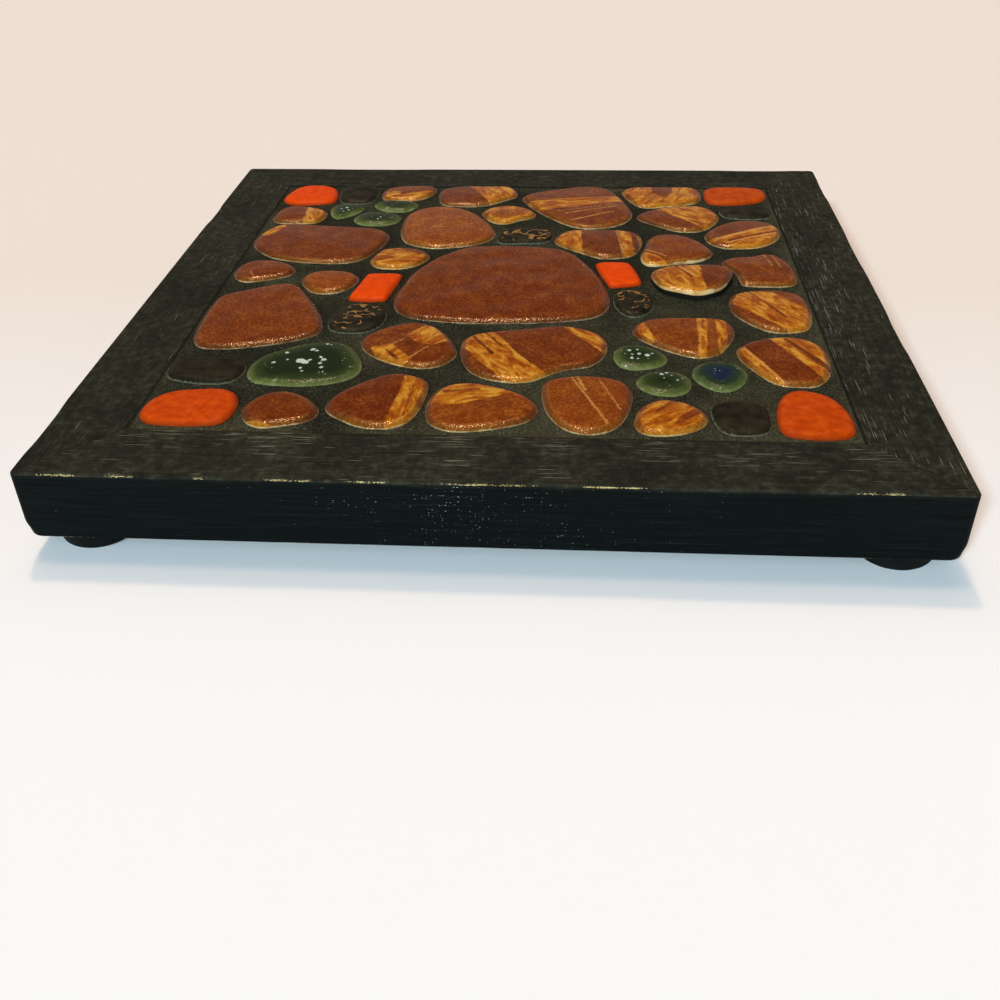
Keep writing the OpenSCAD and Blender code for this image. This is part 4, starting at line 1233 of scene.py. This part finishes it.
def stained_wood():
    """Black-stained wood, with grain along the rail, scratches on top, dust below and a bare edge."""
    material, shader = new_material("black_stained_hardwood")
    place = add(material, "Attribute", {}, "Vector", attribute_name="wood_mm")
    top = add(material, "Attribute", {}, "Fac", attribute_name="top_share")
    patch = add(material, "TexNoise", {
        "Vector": place, "Scale": 1 / PATCH_MM, "Detail": 4.0, "Roughness": 0.6})

    # Three noises drawn out along the rail: its pores, the scratches and the specks
    drawn_out = []
    for length, width, detail, roughness in (
            (GRAIN_LENGTH_MM, GRAIN_WIDTH_MM, 6.0, 0.75),
            (SCRATCH_LENGTH_MM, SCRATCH_WIDTH_MM, 1.0, 0.5),
            (SPECK_LENGTH_MM, SPECK_WIDTH_MM, 0.0, 0.5)):
        scaled = add(material, "VectorMath", {
            0: place, 1: (1 / length, 1 / width, 1.0)}, operation="MULTIPLY")
        drawn_out.append(add(material, "TexNoise", {
            "Vector": scaled, "Scale": 1.0, "Detail": detail, "Roughness": roughness}))
    pores, scratch, speck = drawn_out
    mottle = add(material, "TexNoise", {
        "Vector": place, "Scale": 1 / MOTTLE_MM, "Detail": 6.0, "Roughness": 0.75})
    mottle = add(material, "Mix", {MIX_FACTOR: 0.4, MIX_VALUE_A: mottle, MIX_VALUE_B: pores})

    body = stain_and_top_sheen(material, pores, mottle, patch, top)
    body = pale_scratches(material, body, scratch, patch, top)
    body = dusty_specks(material, body, place, speck, pores, patch, top)
    body = bare_edge(material, body, mottle, speck, pores)
    bump = add(material, "Bump", {"Strength": 0.6, "Distance": WOOD_BUMP_MM * MM, "Height": pores})
    return finish_material(material, shader, body, bump, {"Roughness": 0.65, "Specular IOR Level": 0.06})


stained = stained_wood()
print("material", stained.name, "with", len(stained.node_tree.nodes), "nodes")

# %% [markdown]
# The shape of a rail
#
# A rail is a profile carried along a straight line: a ledge below for the panel, an upright outside, and
# rounded edges. Both ends are cut at 45 degrees, which a scale along the rail gives by itself: at each
# distance from the middle of the trivet, the rail is as long as that distance allows. Its outer corners
# are then bent round. A hairline is left open at the mitre, so that the joint shows.

# %% Rail profile
PROFILE_STEP_MM = 0.9
LOWER_EDGE_MM = 0.5
UPPER_EDGE_MM = 0.8
INNER_EDGE_MM = 0.3
EDGE_STEPS = 6


def rail_profile():
    """A rail's closed section as (distance from the middle, height), anticlockwise, with round corners.

    A corner of radius r is a quarter circle from r before it to r after it, and the straight parts between
    are cut into even steps.
    """
    corners = np.array([
        [ledge_inside, rail_underside], [half_width, rail_underside], [half_width, frame_top],
        [mosaic_half, frame_top], [mosaic_half, ledge_top], [ledge_inside, ledge_top]])
    radii = np.array([INNER_EDGE_MM, LOWER_EDGE_MM, UPPER_EDGE_MM, INNER_EDGE_MM, 0, INNER_EDGE_MM])
    ahead = np.roll(corners, -1, axis=0) - corners
    ahead /= np.linalg.norm(ahead, axis=1)[:, None]
    behind = np.roll(ahead, 1, axis=0)
    angles = np.linspace(0, np.pi / 2, EDGE_STEPS)[:, None]
    profile = []
    for i, r in enumerate(radii):
        centre = corners[i] + r * (ahead[i] - behind[i])
        arc = centre - r * np.cos(angles) * ahead[i] + r * np.sin(angles) * behind[i]
        arc = arc if r else corners[i:i + 1]
        after = (i + 1) % len(radii)
        straight_end = corners[after] - radii[after] * ahead[i]
        steps = int(np.linalg.norm(straight_end - arc[-1]) / PROFILE_STEP_MM) + 1
        t = np.arange(1, steps)[:, None] / steps
        profile += [arc, arc[-1] + t * (straight_end - arc[-1])]
    return np.concatenate(profile)


profile = rail_profile()
print("a rail's profile has", len(profile), "points")

# %% Wear of the rails
WEAR_REACH_MM = 1.2
WEAR_DEPTH_MM = 0.3
LOWER_LINE_SHIFT_MM = 0.15
TOP_FADE_MM = 1.0
FULLY_WORN_SHARE = 0.3
FULLY_TOP_SHARE = 0.3
OUTER_SCUFF_SHARE = 0.35

# Rubbed stretches of the upper edge: the middle and half the length of each, as shares of the frame's
# width, counted from the rail's middle towards the right as seen from outside
worn_shares = {
    "front_rail": [(-0.44, 0.015), (-0.335, 0.03), (-0.28, 0.025), (-0.22, 0.012), (-0.15, 0.035),
                   (-0.09, 0.03), (0.01, 0.065), (0.1, 0.045), (0.3, 0.035), (0.46, 0.05)],
    "right_rail": [(-0.46, 0.04), (-0.1, 0.05), (0.1, 0.06), (0.3, 0.04)],
    "back_rail": [(-0.3, 0.05), (0.2, 0.08)],
    "left_rail": [(-0.2, 0.04), (0.3, 0.05)],
}

# How much the top of each rail is scuffed at its inner edge, which fades outwards to OUTER_SCUFF_SHARE of it
scuffed_shares = {"front_rail": 0.78, "right_rail": 0.78, "back_rail": 0.2, "left_rail": 0.3}


def worn_along(node, place_share):
    """How worn the upper edge is at each place along a rail: 1 in a rubbed stretch, less at its ends."""
    worn = np.zeros(len(place_share))
    for middle_share, half_share in worn_shares[node]:
        away = np.abs(place_share - middle_share)
        worn = np.maximum(worn, 1 - ramp(away, FULLY_WORN_SHARE * half_share, half_share))
    return worn


print(sum(len(stretches) for stretches in worn_shares.values()), "rubbed stretches on the four rails")

# %% Rail surface
RAIL_STEPS = 260
CORNER_MM = 1.8
KNOCKED_MM = 2.2
KNOCKED_HEIGHT_MM = 5.0
MITRE_GAP_MM = 0.06
LEAST_MM = 1e-9
SHARP_ANGLE = 40 * DEGREES

# How many quarter turns, anticlockwise from above, take the back rail to each side
rail_turns = {"back_rail": 0, "left_rail": 1, "front_rail": 2, "right_rail": 3}


def rail_surface(node, seed):
    """A rail's points, faces and attributes. It is made as the back rail and then turned to its own side.

    The point at distance w and share s along is (s * w, w). The share is 1.5 u - 0.5 u ** 3 for even steps
    u from -1 to 1, so that the points are closer near the ends.
    Beyond the corner's centre, a point of the square with sides dx < dy goes to the circle of radius dy, at
    the angle 90 - 45 * dx / dy degrees. That radius grows towards the underside, where the corners are
    knocked round. Worn stretches of the upper edge are planed down towards the wood.
    """
    # The straight rail, cut at 45 degrees, and its outer corners bent round
    u = np.linspace(-1, 1, RAIL_STEPS)
    s = 1.5 * u - 0.5 * u ** 3
    distance, height = profile[:, :1], profile[:, 1:] + 0 * s
    along = s * (distance - MITRE_GAP_MM)
    out = distance + 0 * s
    knocked = 1 - ramp(height, rail_underside, rail_underside + KNOCKED_HEIGHT_MM)
    centre = half_width - CORNER_MM - KNOCKED_MM * knocked
    dx, dy = np.abs(along) - centre, np.maximum(out - centre, LEAST_MM)
    angle = np.pi / 2 - np.pi / 4 * dx / dy
    bent = (dx > 0) & (out > centre)
    x = np.where(bent, np.sign(along) * (centre + dy * np.cos(angle)), along)
    y = np.where(bent, centre + dy * np.sin(angle), out)

    # The worn upper edge, and the turn to the rail's own side
    worn = worn_along(node, -along[0] / (2 * half_width))
    to_upper_edge = np.hypot(out - half_width, height - frame_top)
    # The lower edge gets a fainter pale line of the same colour, set a little further off it
    to_lower_edge = np.hypot(out - half_width, height - rail_underside) + LOWER_LINE_SHIFT_MM
    planed_off = WEAR_DEPTH_MM * worn * (1 - ramp(to_upper_edge, 0, WEAR_REACH_MM))
    y = y - np.where(bent, 0, planed_off)
    height = height - planed_off
    points = np.stack([x, y, height], axis=-1)
    turn = rail_turns[node] * np.pi / 2
    rotation = np.array([[np.cos(turn), np.sin(turn)], [-np.sin(turn), np.cos(turn)]])
    points[..., :2] = points[..., :2] @ rotation

    # Faces along the rail, and one on each cut end
    number = np.arange(len(profile) * RAIL_STEPS).reshape(len(profile), RAIL_STEPS)
    above = np.roll(number, -1, axis=0)
    quads = np.stack([number[:, :-1], above[:, :-1], above[:, 1:], number[:, 1:]], axis=-1).reshape(-1, 4)
    faces = quads.tolist() + [number[::-1, 0].tolist(), number[:, -1].tolist()]

    # The place round the section, and the shares that the stain reads
    steps = np.linalg.norm(np.diff(profile, axis=0, prepend=profile[-1:]), axis=1)
    around = np.cumsum(steps)[:, None] + 0 * s
    top_share = ramp(height, frame_top - TOP_FADE_MM, frame_top - FULLY_TOP_SHARE * TOP_FADE_MM)
    outwards = ramp(out, mosaic_half, half_width)
    scuffed_share = scuffed_shares[node] * (1 - (1 - OUTER_SCUFF_SHARE) * outwards)
    return points.reshape(-1, 3), faces, {
        "wood_mm": np.stack([x, around, np.full_like(x, FAR_MM * seed)], axis=-1).reshape(-1, 3),
        "worn_share": (worn + 0 * out).ravel(),
        "top_share": top_share.ravel(),
        "scuffed_share": scuffed_share.ravel(),
        "edge_mm": np.minimum(to_upper_edge, to_lower_edge).ravel(),
    }


for seed, node in enumerate(rail_turns):
    rail_points, rail_faces, rail_attributes = rail_surface(node, seed)
    rail = make_piece(node + "_stained", rail_points, rail_faces, rail_attributes, stained, node)
    rail.data.set_sharp_from_angle(angle=SHARP_ANGLE)
    print(rail.name, "has", len(rail_points), "points")

# %% [markdown]
# Rubber feet
#
# Each foot is a moulded rubber button with a recess for its screw. It is the same all round, so a profile
# turned about the upright axis gives it. The profile closes on itself round the screw's hole, so there are
# no poles. The mould left it matt, with a fine grain.

# %% Moulded rubber
# The mould's own grain is much finer. It is drawn this coarse so that it shows.
MOULD_GRAIN_MM = 0.5
RUBBER_DUST_MM = 6.0
RUBBER_BUMP_MM = 0.05


def moulded_rubber():
    """Matt black rubber with a fine moulded grain and a little dust."""
    material, shader = new_material("moulded_black_rubber")
    place = add(material, "TexCoord", {}, "Object")
    grain = add(material, "TexNoise", {
        "Vector": place, "Scale": 1 / (MOULD_GRAIN_MM * MM), "Detail": 3.0})
    dust = add(material, "TexNoise", {"Vector": place, "Scale": 1 / (RUBBER_DUST_MM * MM), "Detail": 4.0})
    body = add(material, "ValToRGB", {"Fac": dust}, stops=[(0.4, "#080908"), (0.7, "#131310")])
    bump = add(material, "Bump", {"Strength": 0.4, "Distance": RUBBER_BUMP_MM * MM, "Height": grain})
    return finish_material(material, shader, body, bump, {"Roughness": 0.8, "Specular IOR Level": 0.15})


rubber = moulded_rubber()
print("material", rubber.name, "with", len(rubber.node_tree.nodes), "nodes")

# %% Foot surface
FOOT_STEPS = 72
FOOT_EDGE_MM = 1.0
RECESS_RADIUS_MM = 5.0
HOLE_RADIUS_MM = 2.0
WEB_MM = 2.0
SOFT_EDGE_MM = 0.25


def foot_surface(node):
    """A foot's points and faces: its profile of radius and height, turned round its axis."""
    low, high = (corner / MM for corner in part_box(node))
    middle = (low + high) / 2
    radius = (high.x - low.x) / 2
    web_low = high.z - WEB_MM
    angles = np.linspace(0, np.pi / 2, EDGE_STEPS)
    outer_edge = np.column_stack([
        radius - FOOT_EDGE_MM * (1 - np.sin(angles)),
        FOOT_EDGE_MM * (1 - np.cos(angles))])
    outline = np.concatenate([
        [[RECESS_RADIUS_MM + SOFT_EDGE_MM, 0]],
        outer_edge,
        [[radius, high.z - SOFT_EDGE_MM], [radius - SOFT_EDGE_MM, high.z]],
        [[HOLE_RADIUS_MM, high.z], [HOLE_RADIUS_MM, web_low], [RECESS_RADIUS_MM, web_low]],
        [[RECESS_RADIUS_MM, SOFT_EDGE_MM]]])
    turn = 2 * np.pi * np.arange(FOOT_STEPS) / FOOT_STEPS
    x = middle.x + outline[:, :1] * np.cos(turn)
    y = middle.y + outline[:, :1] * np.sin(turn)
    points = np.stack([x, y, outline[:, 1:] + 0 * turn], axis=-1)
    number = np.arange(len(outline) * FOOT_STEPS).reshape(len(outline), FOOT_STEPS)
    above = np.roll(number, -1, axis=0)
    quads = np.stack([number, np.roll(number, -1, axis=1), np.roll(above, -1, axis=1), above], axis=-1)
    return points.reshape(-1, 3), quads.reshape(-1, 4).tolist()


for node in ("foot_front_left", "foot_front_right", "foot_back_right", "foot_back_left"):
    foot_points, foot_faces = foot_surface(node)
    foot = make_piece(node + "_moulded", foot_points, foot_faces, {}, rubber, node)
    foot.data.set_sharp_from_angle(angle=SHARP_ANGLE)
print("a foot has", len(foot_points), "points")

# %% [markdown]
# Pieces that keep their solid
#
# The plywood panel, the screws, the washers, the brads and the pins already have their true shapes in the
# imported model. They only need a finish. The panel shows from below, the screws and washers in the recesses
# of the feet. Brads and pins lie inside the wood, but get their own wire steel all the same.

# %% Plywood and steel
VENEER_GRAIN_MM = (45.0, 1.4, 1.5)
VENEER_BUMP_MM = 0.08
STEEL_BUMP_MM = 0.03

# The clouding of the plated and the drawn steel, coarser than the real one so that it shows
ZINC_SPANGLE_MM = 1.2
WIRE_SPANGLE_MM = 0.6


def plywood():
    """Sanded plywood face: pale tan, with veneer grain drawn out along X."""
    material, shader = new_material("sanded_plywood")
    place = add(material, "TexCoord", {}, "Object")
    grain_shape = [1 / (length * MM) for length in VENEER_GRAIN_MM]
    veneer = add(material, "VectorMath", {0: place, 1: grain_shape}, operation="MULTIPLY")
    grain = add(material, "TexNoise", {
        "Vector": veneer, "Scale": 1.0, "Detail": 5.0, "Roughness": 0.65, "Distortion": 0.4})
    body = add(material, "ValToRGB", {"Fac": grain}, stops=[
        (0.32, "#8d673c"), (0.5, "#b28a59"), (0.68, "#cba878")])
    bump = add(material, "Bump", {"Strength": 0.4, "Distance": VENEER_BUMP_MM * MM, "Height": grain})
    return finish_material(material, shader, body, bump, {"Roughness": 0.7})


def steel(name, bright, dull, roughness, spangle_mm):
    """Steel whose tone varies between two greys over spangle_mm, with a fine unevenness."""
    material, shader = new_material(name)
    place = add(material, "TexCoord", {}, "Object")
    spangle = add(material, "TexNoise", {"Vector": place, "Scale": 1 / (spangle_mm * MM), "Detail": 4.0})
    body = add(material, "ValToRGB", {"Fac": spangle}, stops=[(0.35, dull), (0.65, bright)])
    bump = add(material, "Bump", {"Strength": 0.3, "Distance": STEEL_BUMP_MM * MM, "Height": spangle})
    return finish_material(material, shader, body, bump, {"Metallic": 1.0, "Roughness": roughness})


zinc_plated = steel("zinc_plated_steel", "#b9bcbf", "#8b8f94", 0.34, ZINC_SPANGLE_MM)
drawn_wire = steel("drawn_wire_steel", "#a5a6a8", "#7f8083", 0.28, WIRE_SPANGLE_MM)
kept_finishes = {
    "base_panel": plywood(),
    "foot_screws": zinc_plated,
    "foot_washers": zinc_plated,
    "mitre_brads": drawn_wire,
    "panel_pins": drawn_wire,
}
for node, material in kept_finishes.items():
    nodes[node].data.materials.clear()
    nodes[node].data.materials.append(material)
print("kept solids:", ", ".join(kept_finishes))

# %% [markdown]
# Floor, light and camera
#
# The trivet lies on a plain pale surface in a room with two kinds of light. Warm lamps hang above it: a
# shaded bulb high up behind, which puts small highlights on the near shoulders of the pebbles, and a lamp
# on the ceiling. Cool daylight comes from a window at the front left, which casts a soft shadow to the
# right, and from the walls round it. So the shadow under the front rail, where only daylight comes, is
# bluish. The walls and the ceiling are dim, as they show in the glaze. Together the lamps light a level
# surface to about the value of its own colour, so that each colour renders as it is written.

# %% Floor
FLOOR_HALF_MM = 3000.0
PAINTED_DAYLIGHT_Y_MM = -170.0
PAINTED_LAMPLIGHT_Y_MM = 60.0


def floor_paper():
    """Smooth pale paper with painted light: nearly white in front, where daylight falls, and a little warmer
    towards the back, under the lamps.
    """
    material, shader = new_material("pale_backdrop_paper")
    place = add(material, "TexCoord", {}, "Object")
    depth = add(material, "SeparateXYZ", {"Vector": place}, "Y")
    # Painted light: whiter in front, where the daylight falls, and warmer behind
    painted_light_share = add(material, "MapRange", {
        "Value": depth, "From Min": PAINTED_DAYLIGHT_Y_MM * MM, "From Max": PAINTED_LAMPLIGHT_Y_MM * MM})
    body = add(material, "ValToRGB", {"Fac": painted_light_share}, stops=[(0.0, "#fbfbfb"), (1.0, "#efe1d6")])
    link(material, body, shader.inputs["Base Color"])
    shader.inputs["Roughness"].default_value = 0.9
    return material


floor_mesh = bpy.data.meshes.new("floor")
floor_corners = [(x * FLOOR_HALF_MM * MM, y * FLOOR_HALF_MM * MM, 0) for x, y in CORNER_SHARES]
floor_mesh.from_pydata(floor_corners, [], [(0, 1, 2, 3)])
floor_mesh.materials.append(floor_paper())
floor = bpy.data.objects.new("floor", floor_mesh)
bpy.context.scene.collection.objects.link(floor)
print("floor is", 2 * FLOOR_HALF_MM * MM, "m wide")

# %% Light
LAMP_LIGHT = "#ffdcc0"
DAYLIGHT = "#d3efff"
bulb_direction = (-0.12, 0.42, 1.0)

# Each lamp: the direction it shines from, its strength, the width of its disc in degrees, and its colour
lamps = {
    "bulb_high_behind": (bulb_direction, 0.72, 5, LAMP_LIGHT),
    "shade_round_the_bulb": (bulb_direction, 0.5, 42, LAMP_LIGHT),
    "lamp_on_the_ceiling": ((-0.1, 0.12, 1.0), 0.5, 9, LAMP_LIGHT),
    "window_at_front_left": ((-0.73, -1.4, 1.0), 2.3, 6, DAYLIGHT),
    "broad_fill_from_front": ((0.1, -1.0, 0.72), 1.2, 45, DAYLIGHT),
}
for name, (direction, strength, disc, hex_code) in lamps.items():
    lamp = bpy.data.lights.new(name, "SUN")
    lamp.energy = strength
    lamp.angle = disc * DEGREES
    lamp.color = colour(hex_code)[:3]
    sun = bpy.data.objects.new(name, lamp)
    sun.rotation_euler = Vector(direction).to_track_quat("Z", "Y").to_euler()
    bpy.context.scene.collection.objects.link(sun)
print("lamps:", ", ".join(lamps))

# %% Dim room
# The grey seen at each height: 0 is the horizon and all below it, and 1 is straight up
room_stops = [(0.0, "#8f8d8a"), (0.1, "#8d8b88"), (0.3, "#86827d"), (0.36, "#6e6b68"), (0.42, "#575551"),
              (0.55, "#454443"), (0.7, "#3a3a38"), (1.0, "#5c5b58")]
world = bpy.data.worlds.new("dim_room")
world.use_nodes = True
seen_towards = add(world, "TexCoord", {}, "Generated")
upward = add(world, "SeparateXYZ", {"Vector": seen_towards}, "Z")
room = add(world, "ValToRGB", {"Fac": upward}, stops=room_stops)
link(world, room, world.node_tree.nodes["Background"].inputs["Color"])
bpy.context.scene.world = world
bpy.context.scene.view_settings.view_transform = "Standard"
print("the room is a ramp of", len(room_stops), "greys from below to above")

# %% Camera
# The place, the aim, the roll and the focal length that put the frame's corners where the photo has them
CAMERA_ROLL = -1.24 * DEGREES
PHOTO_WIDTH_PX = 1000
FOCAL_LENGTH_PX = 1080.5
NEAREST_SEEN_MM = 10.0
camera_place_mm = Vector((21.1, -324.1, 166.9))
camera_aim_mm = Vector((4.9, -121.2, 25.0))

camera_data = bpy.data.cameras.new("camera")
camera_data.lens = camera_data.sensor_width * FOCAL_LENGTH_PX / PHOTO_WIDTH_PX
camera_data.clip_start = NEAREST_SEEN_MM * MM
camera = bpy.data.objects.new("camera", camera_data)
look = (camera_place_mm - camera_aim_mm).to_track_quat("Z", "Y").to_matrix()
turn = look @ Matrix.Rotation(CAMERA_ROLL, 3, "Z")
camera.matrix_world = Matrix.Translation(camera_place_mm * MM) @ turn.to_4x4()
bpy.context.scene.collection.objects.link(camera)
bpy.context.scene.camera = camera
print("camera lens", round(camera_data.lens, 2), "mm")
